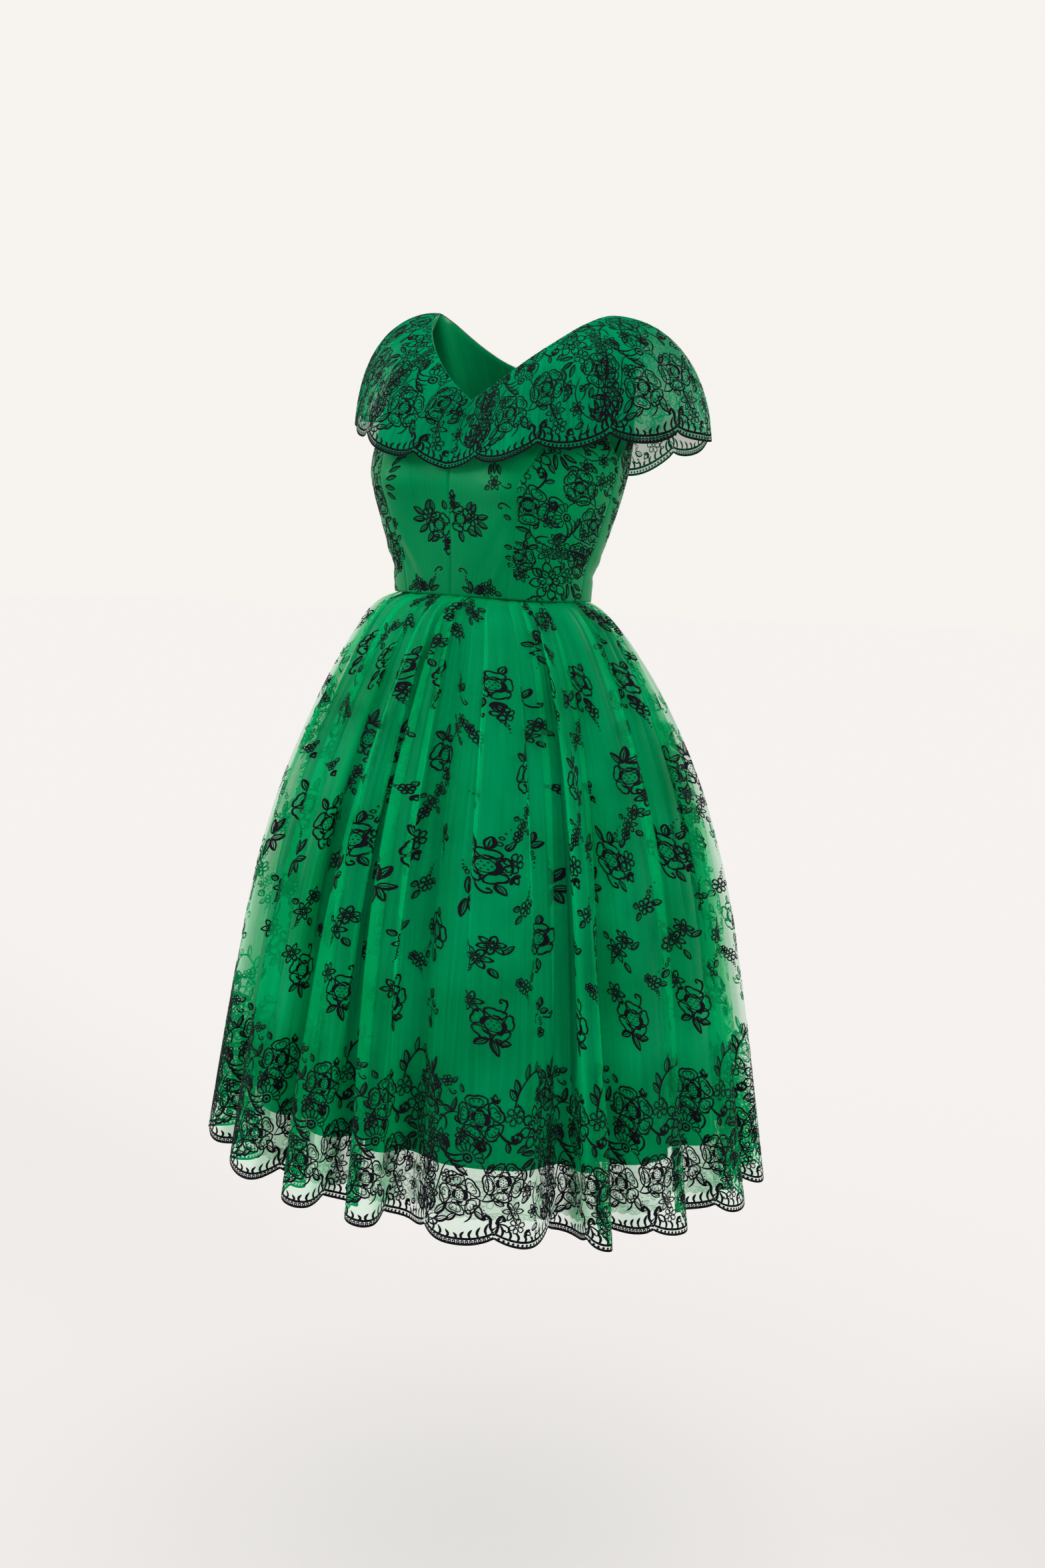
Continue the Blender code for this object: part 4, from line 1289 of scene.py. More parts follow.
@dataclass
class Skirt:
    """The gathered overskirt with its print, the underskirt and its lace edging."""

    form: SkirtForm
    scallops: int = 40
    hang: float = 11.0
    hem_shift: float = 0.4  # of a scallop, from the right side seam to the first cusp
    columns_per_scallop: int = 18
    rows: int = 92
    crowd: float = 1.25  # power by which the rows crowd towards the waist
    waist_tuck: float = 3.4  # how far the top edge turns in under the bodice
    tuck_drop: float = 4.0
    under_columns: int = 541
    under_rows: int = 56
    under_crowd: float = 1.2
    under_depth: float = 0.5
    under_fine: float = 0.6
    under_inset: float = 5.0
    gather_inset: float = 3.0  # more clear space at the waist, where the gathers need it
    under_start: float = -1.0
    lace_depth: float = 52.0
    lace_rows: int = 12
    lace_repeats: int = 46
    lace_phase: float = 0.25  # of a repeat, from the side seam to the first flower's start
    lace_scallops: int = 180
    lace_hang: float = 2.5
    lace_cusp: float = 1.0  # how far above the lower edge the cusps of its scallops lie
    seam_gap: float = 0.3
    wall: float = 0.5
    squeeze: float = 0.8  # how far a row's spacing follows the cloth as it narrows to the waist

    def edge(self, share: Array) -> Array:
        """Height of the hem's cut edge at each share, against its cusps."""
        return scalloped(share * self.scallops - self.hem_shift, self.hang)

    def over_panel(self) -> Panel:
        """The overskirt's whole ring of cloth."""
        share = np.linspace(0, 1, self.scallops * self.columns_per_scallop + 1)
        full = self.form.waist_z - self.form.hem_z - self.form.start
        # Rows crowd towards the waist, and only the lowest follow the scallops.
        v = np.linspace(0, 1, self.rows)[:, None] ** self.crowd
        drop = self.form.start + v * full - self.edge(share) * v**6
        waist = np.clip(1 - (drop - self.form.start) / self.tuck_drop, 0, 1)
        return Panel(self.form.points(share[None, :], drop, inset=self.waist_tuck * waist**2))

    def under_panel(self) -> Panel:
        """The underskirt's whole ring of cloth."""
        share = np.linspace(0, 1, self.under_columns)
        v = np.linspace(0, 1, self.under_rows)[:, None] ** self.under_crowd
        full = self.form.waist_z - self.form.under_hem_z - self.under_start
        inset = self.under_inset + self.gather_inset * (1 - v) ** 4
        drop = self.under_start + v * full
        shape = (self.under_depth, inset, self.under_fine)
        return Panel(self.form.points(share[None, :], drop, *shape))

    def lace_panel(self) -> Panel:
        """The lace edging's whole ring, with its own small scallops."""
        share = np.linspace(0, 1, 2 * self.under_columns - 1)
        v = np.linspace(0, 1, self.lace_rows)[:, None]
        top = self.form.waist_z - self.form.under_hem_z + self.seam_gap
        small = self.lace_hang * np.abs(np.sin(np.pi * share * self.lace_scallops)) * v**3
        drop = top + v * (self.lace_depth - self.lace_cusp) + small
        shape = (self.under_depth, self.under_inset, self.under_fine)
        return Panel(self.form.points(share[None, :], drop, *shape))

    def draw(self, panel: Panel) -> LineWork:
        """Prints the overskirt: staggered rows of sprays above the deep scalloped border."""
        flat = self.form.flat_width
        printed = LineWork(panel, around=True)
        repeats = self.scallops // 2
        motifs = []
        for row in SKIRT_PRINT:
            wide = flat * (panel.breadth(row.up) / flat) ** self.squeeze
            motifs.append((compose(row.spots).moved(scale=row.scale), row, wide))
        border = deep_border()
        scallop = ScallopEdge(flat / self.scallops, self.hang)
        bands = [scallop.draw(beads) for beads in Beads]
        first = (self.hem_shift + 1) / self.scallops
        full = float(panel.down[-1].mean())
        LOG.info("skirt cloth is %.0f mm long and %.0f mm round the hem", full, flat)
        for k in range(repeats):
            start = first + k / repeats
            printed.place(border, start, 0.0, flat, self.edge)
            for number, band in enumerate(bands):
                printed.place(band, start + number / self.scallops, 0.0, flat, self.edge)
            for motif, row, wide in motifs:
                if k % row.every == 0:
                    printed.place(motif, start + row.phase / repeats, row.up, wide, self.edge)
        return printed

    def build(self, finishes: Finishes) -> list[Object]:
        """Makes the skirt's pieces from the materials by name, and returns them."""
        over, under, lace = self.over_panel(), self.under_panel(), self.lace_panel()
        printed = self.draw(over)
        worked = LineWork(lace, around=True)
        flower = lace_flower(lace.breadth(0.0) / self.lace_repeats)
        for k in range(self.lace_repeats):
            start = (k + self.lace_phase) / self.lace_repeats
            worked.place(flower, start, 0.0, lace.breadth(0.0))
        made = []
        for word, low, high in (("front", 0.0, 0.5), ("back", 0.5, 1.0)):
            for name, panel, finish, wall, rest in (
                ("overskirt", over, "organza", 0.0, "underskirt"),
                ("underskirt", under, "taffeta", self.wall, "overskirt"),
                ("lace_edging", lace, "lace", 0.0, "underskirt"),
            ):
                last = panel.cols - 1
                half = panel.part(round(low * last), round(high * last))
                piece = half.piece(f"{name}_{word}_cloth", finishes[finish], wall)
                length = float(half.down[-1].mean())
                rests_on = [f"{rest}_{word}"]
                node = f"{name}_{word}"
                made.append(hang_cloth(piece, node, half, length, "gathered", rests_on=rests_on))
            for lines, name, finish, slot in (
                (printed, "overskirt_{}_print", "flock", "printed_organza"),
                (worked, "lace_edging_{}_threads", "thread", "lace"),
            ):
                piece = lines.piece(name.format(word), finishes[finish], (low, high))
                made.append(fix_print(piece, slot))
        return made


@dataclass(frozen=True)
class BodiceForm:
    """Shape of the bodice and the collar, cut for a general figure."""

    waist_z: float = -323.0
    # Level sections, from the waist seam up to the bust.
    z: Column = (-323.0, -303.0, -283.0, -251.0, -220.0, -188.0)
    half_width: Column = (122.0, 123.5, 127.0, 140.0, 150.5, 160.0)
    front: Column = (89.0, 89.5, 90.0, 92.0, 95.0, 98.0)
    back: Column = (86.0, 86.5, 88.0, 92.0, 98.0, 103.0)
    bust: Column = (0.0, 0.5, 1.5, 6.0, 11.5, 14.0)
    princess_x: Column = (70.0, 73.0, 77.0, 84.0, 92.0, 97.0)
    bust_x: float = 88.0
    bust_spread: float = 38.0
    front_round: float = 2.5  # how square a level section is; 2 would be an ellipse
    back_round: float = 2.2
    # x, y and z of the collar's neckline and outer edge at each station, from the centre front
    # over the shoulder to the centre back.
    neck: Table = (
        (0, 30, 62, 88, 107, 119, 122, 114, 86, 45, 0),
        (-56, -51, -36, -14, 12, 35, 48, 68, 88, 98, 101),
        (-98, -77, -49, -24, -3, 9, 12, 3, -22, -44, -54),
    )
    edge: Table = (
        (0, 46, 95, 142, 186, 221, 242, 219, 150, 75, 0),
        (-104, -108, -112, -78, -34, 13, 62, 113, 142, 150, 153),
        (-168, -163, -151, -137, -125, -119, -112, -118, -138, -166, -184),
    )
    # How far it rises off the neckline and how squarely it turns down, at each station.
    lift: Column = (2, 2, 3, 4, 6, 8, 9, 7, 5, 3, 2)
    square: Column = (0.20, 0.25, 0.35, 0.50, 0.68, 0.80, 0.84, 0.74, 0.55, 0.40, 0.35)
    shoulder: int = 6
    centre_back: int = 10
    # Pressed folds beside the V of the right front: the station, width and rise of each.
    tucks: Table = ((0.35, 0.19, 10.0), (0.95, 0.22, 7.0), (1.70, 0.26, 4.5))
    tuck_lift: float = 0.25  # share of its rise by which a fold also stands up
    # Soft folds that open towards the outer edge, a little further on at the right.
    drapes: Table = (
        (1.3, 0.4, 1.5), (2.5, 0.35, -1.5), (3.5, 0.3, 2.0), (4.5, 0.22, -2.0), (5.0, 0.2, 2.5),
        (5.5, 0.2, -2.0), (6.4, 0.2, 2.5), (7.0, 0.25, -2.0), (7.8, 0.3, 2.0),
        (8.8, 0.35, -1.5), (9.5, 0.3, 1.5),
    )
    drape_shift: float = 0.15
    # The shoulder's edge and then the armhole, from the neck down to the side seam.
    hole_front: Table = (
        (122, 141, 158, 153, 150, 156, 166),
        (46, 46, 45, 26, 0, -12, 0),
        (10, 4, -5, -42, -84, -124, -152),
    )
    hole_back: Table = (
        (122, 141, 158, 154, 151, 156, 166),
        (46, 46.5, 47, 50, 50, 36, 0),
        (10, 4, -5, -46, -90, -128, -152),
    )
    hole_stops: Column = (0.0, 1.0, 2.0, 2.7, 3.4, 4.1, 4.8, 5.4, 6.0)
    swell: float = 7.0  # how far a panel bows out between the bust and its top edge
    swell_height: float = 120.0  # height of a panel above the bust that bows out in full
    seam_gap: float = 0.3
    layer: float = 1.5

    def section(self, turn: Array, z: float) -> Array:
        """Points of a level section: turn is 0 at the centre front and 180 at the back."""
        turn, z = np.broadcast_arrays(np.radians(turn), z)
        s, c = np.sin(turn), np.cos(turn)
        ahead = c > 0
        power = np.where(ahead, 2 / self.front_round, 2 / self.back_round)
        half = smooth(z, self.z, self.half_width)
        reach = np.where(ahead, smooth(z, self.z, self.front), smooth(z, self.z, self.back))
        x = half * np.sign(s) * np.abs(s) ** power
        y = -reach * np.sign(c) * np.abs(c) ** power
        cup = np.exp(-(((np.abs(x) - self.bust_x) / self.bust_spread) ** 2))
        y = y - smooth(z, self.z, self.bust) * cup * np.clip(c * 2, 0, 1)
        return np.stack([x, y, z + 0.0 * x], axis=-1)

    def princess(self, z: float) -> float:
        """Turn at which the seam over the cup crosses a level section."""
        share = smooth(z, self.z, self.princess_x) / smooth(z, self.z, self.half_width)
        return float(np.degrees(np.arcsin(share ** (self.front_round / 2))))

    def collar(self, station: Array, across: Any, side: Side) -> Array:
        """Points on the collar: across is 0 at the neckline and 1 at the outer edge."""
        station, across = np.broadcast_arrays(np.asarray(station, float), across)
        tables = (self.neck, self.edge, (self.square,), (self.lift,))
        neck, edge, square, lift = (self.curve(table, station) for table in tables)
        run = edge - neck
        # A cubic from the neckline to the edge: the squarer, the longer it stays up before it
        # falls.
        first = neck + run * np.array([0.5, 0.5, 0.0]) * (0.4 + 0.6 * square)
        first[..., 2:] += run[..., 2:] * 0.33 * (1 - square) + lift
        second = neck + run * np.array([1.0, 1.0, 0.0]) * (0.67 + 0.35 * square)
        second[..., 2:] += run[..., 2:] * (0.67 - 0.5 * square)
        w = across[..., None]
        p = (1 - w) ** 3 * neck + 3 * w * (1 - w) ** 2 * first
        p += 3 * w**2 * (1 - w) * second + w**3 * edge
        shift = self.drape_shift if side is Side.RIGHT else 0.0
        drape = self.folds(self.drapes, station + shift)
        p += unit(run * (1, 1, 0), 1e-9) * (drape * np.clip(across, 0, 1) ** 1.5)[..., None]
        if side is Side.RIGHT:
            # The pressed folds are highest midway, and lower at the neckline and the edge.
            rise = self.folds(self.tucks, station)
            rise = rise * np.sin(np.pi * np.clip(0.12 + 0.80 * across, 0, 1))
            p[..., 1] -= rise
            p[..., 2] += self.tuck_lift * rise
        p[..., 0] *= side.value
        return p

    @staticmethod
    def curve(table: Table, at: Array) -> Array:
        """Reads every column of a table at places between its rows."""
        rows = np.arange(len(table[0]))
        return np.stack([smooth(at, rows, column) for column in table], axis=-1)

    @staticmethod
    def folds(table: Table, station: Array) -> Array:
        """Summed rise of a table's folds at each station."""
        return sum(high * np.exp(-(((station - at) / wide) ** 2)) for at, wide, high in table)

    def neckline(self, station: Array, side: Side) -> Array:
        """Edge of the bodice, one layer inside the collar's neckline."""
        edge = self.collar(station, 0.0, Side.LEFT)
        ahead, behind = (
            self.collar(np.clip(station + step, 0, self.centre_back), 0.0, Side.LEFT)
            for step in (0.02, -0.02)
        )
        out = np.cross(self.collar(station, 0.06, Side.LEFT) - edge, ahead - behind)
        edge -= self.layer * out / np.linalg.norm(out, axis=-1, keepdims=True)
        return edge * (side.value, 1, 1)

    def hole(self, table: Table, at: Array, side: Side) -> Array:
        """Points along the shoulder and armhole at given rows of their table."""
        return self.curve(table, at) * (side.value, 1, 1)

    @cached_property
    def girth(self) -> tuple[Array, Array]:
        """Turns round the bust and the length of cloth from the centre front to each."""
        points = self.section(np.linspace(0, 180, 181), self.z[-1])
        return np.degrees(np.arctan2(points[:, 0], -points[:, 1])), travelled(points)

    def flattened(self, points: Array) -> Array:
        """Flat places: cloth from the centre front round, and height above the waist seam."""
        turn = np.degrees(np.arctan2(np.abs(points[..., 0]), -points[..., 1]))
        narrow = smooth(points[..., 2], self.z, self.half_width) / self.half_width[-1]
        round_cloth = np.interp(turn, *self.girth) * narrow
        return np.stack([round_cloth, points[..., 2] - self.waist_z], axis=-1)

    def levels(self) -> Array:
        """Heights of the level sections, the lowest just above the waist seam."""
        return np.array(self.z) + np.array([self.seam_gap] + [0.0] * (len(self.z) - 1))

    def rise(self, rows: list[Array], top: Array) -> Array:
        """Completes a panel's coarse grid from the bust section up to its top edge."""
        section = rows[-1]
        high = np.clip((top[:, 2] - section[:, 2]) / self.swell_height, 0, 1)[:, None]
        for share in (0.34, 0.68, 1.0):
            row = section * (1 - share) + top * share
            out = unit(row * (1, 1, 0)) * self.swell * math.sin(math.pi * share) * high
            rows.append(row + out)
        return np.array(rows[::-1])

    def sections(
        self, first: float | None, last: float | None, count: int, side: Side
    ) -> list[Array]:
        """Level sections of a panel between two turns; None stands for the seam over the cup."""
        rows = []
        for z in self.levels():
            low = self.princess(z) if first is None else first
            high = self.princess(z) if last is None else last
            rows.append(self.section(np.linspace(low, high, count), z) * (side.value, 1, 1))
        return rows

    def centre_front(self, side: Side) -> Array:
        """Coarse grid of a centre front, columns from the centre to the seam over the cup."""
        rows = self.sections(0.0, None, 9, side)
        neck = self.neckline(np.linspace(0.0, self.shoulder, 8), side)[:-1]
        seam = self.hole(self.hole_front, np.array(self.hole_stops[:2]), side)
        return self.rise(rows, np.concatenate([neck, seam]))

    def side_front(self, side: Side) -> Array:
        """Coarse grid of a side front, columns from the seam over the cup to the side seam."""
        top = self.hole(self.hole_front, np.array(self.hole_stops[1:]), side)
        return self.rise(self.sections(None, 90.0, 8, side), top)

    def back_panel(self, side: Side) -> Array:
        """Coarse grid of a back, columns from the side seam to the centre back."""
        rows = self.sections(90.0, 180.0, 13, side)
        edge = self.hole(self.hole_back, np.array(self.hole_stops[::-1]), side)
        neck = self.neckline(np.linspace(self.shoulder, self.centre_back, 5), side)[1:]
        return self.rise(rows, np.concatenate([edge, neck]))


CENTRE_SPRAY_LEFT = (
    (rose, 12, 12, 88, 20), (leaf, 12, 19, 96, 50), (leaf, 12, 25, 93, 62), (leaf, 15, 30, 90, 8),
    (leaf, 13, 31, 86, -22), (leaf, 13, 27, 83, -52), (leaf, 12, 19, 79, -30),
    (leaf, 11, 11, 77, -75), (daisy, 7, 26, 89, 10), (star_flower, 6, 3, 102),
    (bud, 8, 3, 107, 80), (leaf, 8, 5, 99, 30),
)
CENTRE_SPRAY_RIGHT = (
    (rose, 12, 12, 81, 50), (daisy, 8, 23, 89, 30), (leaf, 12, 18, 93, 75),
    (leaf, 12, 26, 93, 105), (leaf, 14, 29, 90, 28), (leaf, 15, 28, 86, -4),
    (leaf, 13, 25, 81, -38), (leaf, 12, 19, 75, -62), (leaf, 11, 12, 72, -40),
    (star_flower, 5, 3, 66), (bud, 9, 2, 62, -86), (leaf, 9, 4, 96, 70),
)
WAIST_SPRIG = (
    (leaf, 13, 25, 5, 150), (leaf, 13, 25, 6, 100), (leaf, 12, 28, 5, 58), (leaf, 12, 30, 5, 22),
    (daisy, 7, 42, 12), (daisy, 6, 51, 10, 20), (star_flower, 6, 36, 10),
    (berries, 13, 22, 15, 100), (scroll, 9, 20, 26, 100), (leaf, 10, 55, 8, -20),
    (leaf, 9, 40, 5, -30), (leaf, 9, 46, 15, 60),
)
TOP_PLUME_LEFT = (
    (leaf, 13, 62, 153, -105), (leaf, 13, 67, 155, -88), (leaf, 12, 72, 153, -72),
    (berries, 12, 61, 150, -95), (star_flower, 9, 67, 132), (scroll, 10, 76, 130, -50),
    (leaf, 9, 60, 128, -150), (scroll, 13, 86, 104, 120), (leaf, 9, 84, 92, 150),
    (leaf, 9, 81, 60, 172), (leaf, 9, 80, 47, 165), (leaf, 11, 80, 34, 130),
)
TOP_PLUME_RIGHT = (
    (scroll, 17, 80, 140, 62), (leaf, 13, 82, 143, 125), (leaf, 14, 81, 135, 148),
    (leaf, 14, 81, 127, 165), (leaf, 13, 82, 119, 188), (leaf, 11, 83, 112, 215),
    (star_flower, 7, 84, 78), (leaf, 10, 82, 60, 150), (daisy, 6, 80, 46),
    (leaf, 11, 80, 34, 130), (leaf, 9, 82, 22, 160),
)


@dataclass(frozen=True)
class Crease:
    """A soft ridge along a line on the flat cloth, or a trough where its height is negative."""

    start: Pair
    end: Pair
    width: float
    height: float

    def rise(self, flat: Array) -> Array:
        """How far it lifts each place of the cloth."""
        run = np.subtract(self.end, self.start)
        length = float(np.hypot(*run))
        gone = flat - np.array(self.start)
        along = (gone @ run) / length**2
        aside = (gone[..., 0] * run[1] - gone[..., 1] * run[0]) / length
        fade = np.sin(np.pi * np.clip(along, 0, 1)) ** 0.8
        return self.height * fade * np.exp(-((aside / self.width) ** 2))


# The cloth is drawn from the cup to the waist; both sides differ, as on the worn dress.
BODICE_CREASES = {
    "bodice_centre_front_left": (
        Crease((4, 128), (62, 104), 8, 1.6), Crease((84, 96), (30, 24), 7, -1.44),
        Crease((76, 60), (44, 6), 5, 1.44), Crease((10, 40), (30, 2), 5, 0.96),
    ),
    "bodice_centre_front_right": (
        Crease((6, 120), (70, 138), 9, 1.6), Crease((88, 84), (26, 14), 6, 2.08),
        Crease((84, 62), (40, 4), 5, -1.6), Crease((60, 104), (12, 56), 8, -1.12),
    ),
    "bodice_side_front_left": (
        Crease((86, 52), (160, 40), 6, 1.92), Crease((90, 34), (150, 22), 5, -1.6),
        Crease((110, 18), (152, 10), 4, 1.6), Crease((92, 128), (150, 96), 8, 1.6),
    ),
    "bodice_side_front_right": (
        Crease((88, 46), (158, 52), 6, 1.92), Crease((92, 28), (154, 30), 5, -1.6),
        Crease((94, 120), (148, 100), 8, 1.44),
    ),
    "bodice_back_left": (
        Crease((176, 60), (250, 40), 7, 1.76), Crease((180, 36), (262, 20), 5, -1.44),
        Crease((200, 140), (250, 110), 9, 1.44),
    ),
    "bodice_back_right": (
        Crease((178, 48), (256, 52), 7, 1.76), Crease((184, 28), (248, 12), 5, 1.44),
        Crease((190, 120), (256, 132), 9, -1.44),
    ),
}


@dataclass
class Bodice:
    """The fitted bodice: six panels and the lapped strip down the centre back."""

    form: BodiceForm
    wall: float = 0.8
    rows: int = 60
    refining: int = 6  # columns of a panel for each of its coarse grid's
    strip_columns: int = 13
    strip_width: float = 16.0
    strip_inset: float = 0.2  # of a row, by which the strip ends above the waist seam
    strip_lift: float = 1.1  # of a layer, by which the strip lies outside the backs
    border_scale: float = 0.95
    border_phase: float = 0.35
    border_past: float = 4.0  # how far the border's cusps lie past the side seam
    spray_scale: float = 1.2
    spray_drop: float = 17.0
    fine: float = 0.84  # of the line width on the skirt, as the print looks finer here
    seam_depth: float = 0.7
    seam_width: float = 2.2
    seam_clear: float = 0.08  # share of a panel's width in which creases fade out at a seam

    def panels(self) -> dict[str, Panel]:
        """Every panel by its node's name."""
        found = {}
        for side in Side:
            for name, grid in (
                ("bodice_centre_front", self.form.centre_front(side)),
                ("bodice_side_front", self.form.side_front(side)),
                ("bodice_back", self.form.back_panel(side)),
            ):
                node = f"{name}_{side.word}"
                columns = self.refining * grid.shape[1]
                dense = refine(grid, self.rows, columns)[:, :: side.value]
                made = Panel(LEAN.apply(dense), self.form.flattened(dense))
                found[node] = self.creased(node, self.seamed(made))
        return found

    def seamed(self, panel: Panel) -> Panel:
        """Sinks a panel's side edges into a shallow groove, as a pressed seam pulls them."""
        across = travelled(panel.points, axis=1)
        near = np.minimum(across, across[:, -1:] - across)
        sink = self.seam_depth * np.exp(-((near / self.seam_width) ** 2))
        return Panel(panel.points - panel.normals * sink[..., None], panel.flat)

    def creased(self, name: str, panel: Panel) -> Panel:
        """Presses its creases into a panel, which keep clear of its seams."""
        edges = np.linspace(0, 1, panel.cols)
        clear = np.clip(np.minimum(edges, 1 - edges) / self.seam_clear, 0, 1)
        rise = clear * sum(crease.rise(panel.flat) for crease in BODICE_CREASES[name])
        return Panel(panel.points + panel.normals * rise[..., None], panel.flat)

    def strip(self) -> Panel:
        """The lapped strip, moved out from the two backs that it lies on."""
        left, right = (self.form.back_panel(side)[1:] for side in (Side.LEFT, Side.RIGHT))
        for back in (left, right):
            back[-1] += (back[-2] - back[-1]) * self.strip_inset
        half = self.strip_width / 2
        rows = []
        for near, far in zip(left, right):
            ends = []
            for row, sign in ((near, 1), (far, -1)):
                reach = np.abs(row[::-1, 0])
                ends.append([sign * half] + [np.interp(half, reach, row[::-1, k]) for k in (1, 2)])
            middle = (near[-1] + far[-1]) / 2
            middle[0] = 0.0
            rows.append([ends[0], middle, ends[1]])
        grid = np.array(rows)
        rise = np.gradient(grid, axis=0)
        out = np.stack([0 * rise[..., 0], -rise[..., 2], rise[..., 1]], axis=-1)
        grid += self.form.layer * self.strip_lift * unit(out)
        return Panel(LEAN.apply(refine(grid, self.rows, self.strip_columns)))

    def draw(self, name: str, panel: Panel) -> LineWork:
        """Prints one panel: sprays on the centre, the turned border at the sides.

        Args:
            name: The panel's node name.
            panel: The panel.

        Returns:
            Its print.
        """
        printed = LineWork(panel, wall=self.wall)
        if "centre_front" in name:
            left = name.endswith("left")
            spray = compose(CENTRE_SPRAY_LEFT if left else CENTRE_SPRAY_RIGHT)
            spray = spray.moved(scale=self.spray_scale).thinned(self.fine)
            printed.lay(spray, 0.0, -self.spray_drop)
            for spots in (WAIST_SPRIG, TOP_PLUME_LEFT if left else TOP_PLUME_RIGHT):
                printed.lay(compose(spots).thinned(self.fine), 0.0, 0.0)
            return printed
        # The border runs up the sides of the bodice, its scalloped edge past the side seam.
        way = 1 if "front" in name else -1
        border = deep_border().moved(turn=90.0 * way, scale=self.border_scale)
        border = border.thinned(self.fine)
        seam = float(np.interp(90.0, *self.form.girth))
        for k in range(-1, 3):
            lift = (k + self.border_phase) * BORDER_REPEAT * self.border_scale
            printed.lay(border, seam + way * self.border_past, lift)
        return printed

    def build(self, finishes: Finishes) -> list[Object]:
        """Makes the bodice's pieces from the materials by name, and returns them."""
        made = []
        panels = self.panels()
        for name, panel in list(panels.items()) + [("back_placket", self.strip())]:
            piece = panel.piece(name + "_cloth", finishes["bodice"], self.wall)
            length = float(panel.down[-1].max())
            made.append(hang_cloth(piece, name, panel, length, "stretched"))
        for name, panel in panels.items():
            piece = self.draw(name, panel).piece(name + "_print", finishes["flock"])
            made.append(fix_print(piece, "bodice_cloth"))
        return made


@dataclass
class Collar:
    """The wide shawl collar: two fronts and a back with a scalloped, printed border."""

    form: BodiceForm
    scallops: tuple[int, int, int] = (4, 7, 4)  # wearer's left front, back, right front
    shift: float = 0.5  # of a scallop, so that the pieces meet at the middle of one
    hang: float = 12.0
    band: float = 8.0
    rows: int = 44
    columns_per_scallop: int = 20
    fine: float = 0.76  # of the line width on the skirt, as the print looks finest here

    def panel(self, stations: Array, sides: list[Side], count: int) -> Panel:
        """Lays a collar piece out at its stations.

        Args:
            stations: Stations of its columns.
            sides: The wearer's side of each column.
            count: How many scallops it has.

        Returns:
            Its panel.
        """
        share = np.linspace(0, 1, len(stations))
        across = np.linspace(0, 1, self.rows)[:, None]
        both = {side: self.form.collar(stations[None, :], across, side) for side in Side}
        right = np.array([side is Side.RIGHT for side in sides])[None, :, None]
        grid = np.where(right, both[Side.RIGHT], both[Side.LEFT])
        grid[..., 2] += self.edge(share, count) * across**3
        return Panel(LEAN.apply(grid))

    def edge(self, share: Array, count: int) -> Array:
        """Height of the cut edge at each share, against its cusps."""
        return scalloped(share * count + self.shift, self.hang)

    def stations(self, first: float, last: float, count: int) -> Array:
        """Stations that lie evenly along the outer edge."""
        fine = np.linspace(first, last, 201)
        edge = self.form.collar(fine, 1.0, Side.LEFT)
        along = travelled(edge)
        return np.interp(np.linspace(0, along[-1], count), along, fine)

    def panels(self) -> dict[str, tuple[Panel, int]]:
        """Every piece by its node's name, with its number of scallops."""
        left, back, right = self.scallops
        found = {}
        for side, count in ((Side.LEFT, left), (Side.RIGHT, right)):
            ahead = self.stations(0.0, self.form.shoulder, count * self.columns_per_scallop + 1)
            ahead = ahead[:: side.value]
            made = self.panel(ahead, [side] * len(ahead), count)
            found[f"collar_front_{side.word}"] = (made, count)
        half = back * self.columns_per_scallop // 2
        stations = self.stations(self.form.shoulder, self.form.centre_back, half + 1)
        stations = np.concatenate([stations, stations[-2::-1]])
        sides = [Side.LEFT] * (half + 1) + [Side.RIGHT] * half
        found["collar_back"] = (self.panel(stations, sides, back), back)
        return found

    def draw(self, panel: Panel, count: int) -> LineWork:
        """Prints a collar piece with the border and its scalloped edge."""
        printed = LineWork(panel)
        outer = panel.breadth(0.0)
        scallop = ScallopEdge(outer / count, self.hang, band=self.band)
        bands = [scallop.draw(beads) for beads in Beads]
        border = deep_border().moved(scale=2 * scallop.width / BORDER_REPEAT)
        border = border.thinned(self.fine)

        def edge(share: Array) -> Array:
            return self.edge(share, count)

        for k in range(-1, count // 2 + 2):
            printed.place(border, (2 * k + self.shift) / count, 0.0, outer, edge)
        for k in range(-1, count + 1):
            printed.place(bands[k % 2], (k + self.shift) / count, 0.0, outer, edge)
        return printed

    def build(self, finishes: Finishes) -> list[Object]:
        """Makes the collar's pieces from the materials by name, and returns them."""
        made = []
        for name, (panel, count) in self.panels().items():
            finish = finishes["collar_single" if "back" in name else "collar"]
            piece = panel.piece(name + "_cloth", finish)
            made.append(hang_cloth(piece, name, panel, float(panel.down[-1].max()), "draped"))
            piece = self.draw(panel, count).piece(name + "_print", finishes["flock"])
            made.append(fix_print(piece, "printed_organza"))
        return made


def place_facing(obj: Object, across: Array, top: Array, back: Array, at: Any = (0, 0, 0)) -> None:
    """Adds a camera or lamp at a place, given the directions to its right, top and back."""
    columns = np.stack([across, top, back, np.array(at) * MM], axis=-1)
    obj.matrix_world = Matrix([*columns.tolist(), [0, 0, 0, 1]])
    bpy.context.scene.collection.objects.link(obj)


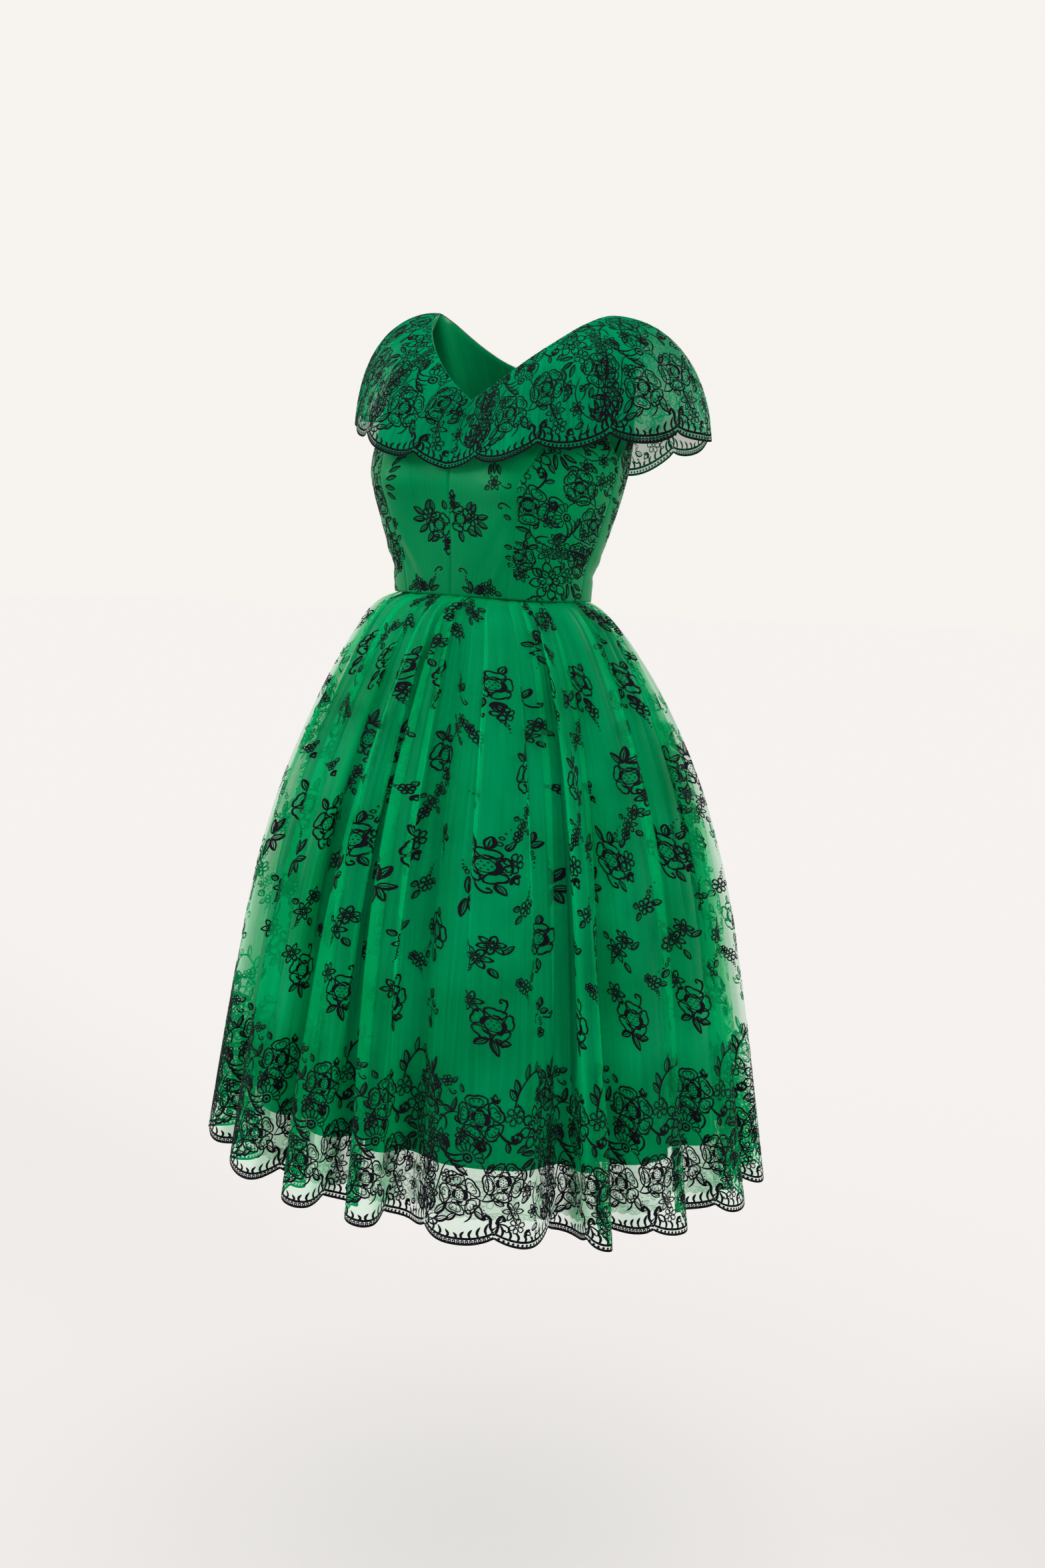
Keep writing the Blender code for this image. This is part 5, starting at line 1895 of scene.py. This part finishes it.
@dataclass(frozen=True)
class PhotoCamera:
    """Camera at the photograph's viewing angle. Angles are degrees."""

    image_height: int = 2352
    focal_px: float = 2594.0
    sensor: float = 36.0
    distance: float = 2080.0
    height: float = -295.0
    azimuth: float = 34.0
    down: float = 6.94
    aside: float = 1.1058
    roll: float = 1.5

    def build(self) -> None:
        """Makes the camera and gives it to the scene."""
        a, d, s, r = (math.radians(v) for v in (self.azimuth, self.down, self.aside, self.roll))
        ahead = np.array([-math.sin(a), math.cos(a), 0.0])
        right = np.array([math.cos(a), math.sin(a), 0.0])
        up = np.array([0.0, 0.0, 1.0])
        ahead, right = (
            ahead * math.cos(s) + right * math.sin(s),
            right * math.cos(s) - ahead * math.sin(s),
        )
        view = ahead * math.cos(d) - up * math.sin(d)
        top = up * math.cos(d) + ahead * math.sin(d)
        across = right * math.cos(r) + top * math.sin(r)
        top = top * math.cos(r) - right * math.sin(r)
        place = (self.distance * math.sin(a), -self.distance * math.cos(a), self.height)
        data = bpy.data.cameras.new("camera")
        data.sensor_width = self.sensor
        data.lens = self.focal_px / self.image_height * self.sensor
        camera = bpy.data.objects.new("camera", data)
        place_facing(camera, across, top, -view, place)
        bpy.context.scene.camera = camera


@dataclass(frozen=True)
class Studio:
    """A pale floor under soft light."""

    floor_z: float = -1500.0
    floor_size: float = 90000.0
    sky: str = "#F7F3EE"
    floor_paint: str = "#DAD9DA"
    softness: float = 22.0  # degrees across which each lamp spreads
    # Each lamp: its name, the direction it shines from and its strength.
    lamps: tuple[tuple[str, Column, float], ...] = (
        ("key", (-2.6, -1.9, 1.5), 1.5),
        ("fill", (3.2, -1.2, 1.1), 0.9),
        ("rim", (0.5, 3.0, 1.7), 0.6),
    )

    def lamp(self, name: str, towards: Column, strength: float) -> None:
        """Adds a distant soft light that shines on the dress from a direction."""
        data = bpy.data.lights.new(name, "SUN")
        data.angle, data.energy = math.radians(self.softness), strength
        back = unit(np.array(towards))
        aside = unit(np.cross((0.0, 0.0, 1.0), back))
        lamp = bpy.data.objects.new(name, data)
        place_facing(lamp, aside, np.cross(back, aside), back)

    def floor(self) -> None:
        """Makes the matt floor."""
        half = self.floor_size / 2
        around = ((-half, -half), (half, -half), (half, half), (-half, half))
        corners = np.array([(x, y, self.floor_z) for x, y in around])
        paint, _, _ = new_material("pale_floor", {
            "Base Color": linear(self.floor_paint),
            "Roughness": 1.0,
            "Specular IOR Level": 0.0,
        })
        new_mesh("floor", corners, np.array([(0, 1, 2, 3)]), paint)

    def build(self) -> None:
        """Makes the sky, the floor and the lights."""
        world = bpy.data.worlds.new("studio")
        world.use_nodes = True
        sky = world.node_tree.nodes["Background"]
        sky.inputs["Color"].default_value = linear(self.sky)
        sky.inputs["Strength"].default_value = 1.0
        bpy.context.scene.world = world
        bpy.context.scene.view_settings.view_transform = "Standard"
        self.floor()
        for lamp in self.lamps:
            self.lamp(*lamp)


def make_finishes() -> Finishes:
    """Makes every material of the dress by its short name."""
    cloths = {
        # Crisp sheer silk: the colour builds up where layers lie on each other.
        "organza": WovenCloth(
            "organza_sheer", "#00D080", "#00AC5C", 0.42, 0.15, cover=0.18, specular=0.0
        ),
        # The same organza, doubled by its dense print and the cloth under it.
        "collar": WovenCloth(
            "organza_collar", "#008A5A", "#007046", 0.45, 0.1, cover=0.7, specular=0.0
        ),
        # The back of the collar is a single layer, so what is behind it shows.
        "collar_single": WovenCloth(
            "organza_collar_single", "#009A64", "#007E4C", 0.45, 0.1, cover=0.45, specular=0.0
        ),
        # Organza laid on taffeta: smooth and full in colour, with a soft moving sheen.
        "bodice": WovenCloth(
            "organza_on_taffeta", "#007E48", "#00663A", 0.42, 0.1, specular=0.12,
            slub_width=2.0, slub_length=60.0, contrast=0.7,
        ),
        # Plain taffeta: fine ribs across, a dull gloss along the folds.
        "taffeta": WovenCloth(
            "taffeta_woven", "#007248", "#005A36", 0.4, 0.08, relief=0.08, specular=0.05
        ),
        # Fine cotton net lace, pale with a breath of green.
        "lace": WovenCloth(
            "lace_net", "#EEF4F0", "#C4D4CA", 0.75, 0.1, cover=0.4, specular=0.0,
            slub_width=2.0, slub_length=3.0, gloss="#F4FFF8",
        ),
        # Its raised flowers are worked in thicker cotton thread.
        "thread": WovenCloth(
            "lace_thread", "#F2F6F2", "#C8D4CC", 0.8, 0.1,
            slub_width=1.0, slub_length=1.0, gloss="#F4FFF8",
        ),
    }
    finishes = {name: cloth.material() for name, cloth in cloths.items()}
    finishes["flock"] = Flock().material()
    return finishes


def main() -> None:
    """Builds the scene: camera, studio, and the dress from the skirt up."""
    logging.basicConfig(level=logging.INFO, format="%(message)s")
    PhotoCamera().build()
    Studio().build()
    finishes = make_finishes()
    form = BodiceForm()
    for maker in (Skirt(SkirtForm()), Bodice(form), Collar(form)):
        for piece in maker.build(finishes):
            count = len(piece.data.polygons)
            LOG.info("%s: %s, %d faces", type(maker).__name__, piece.name, count)


if __name__ == "__main__":
    main()
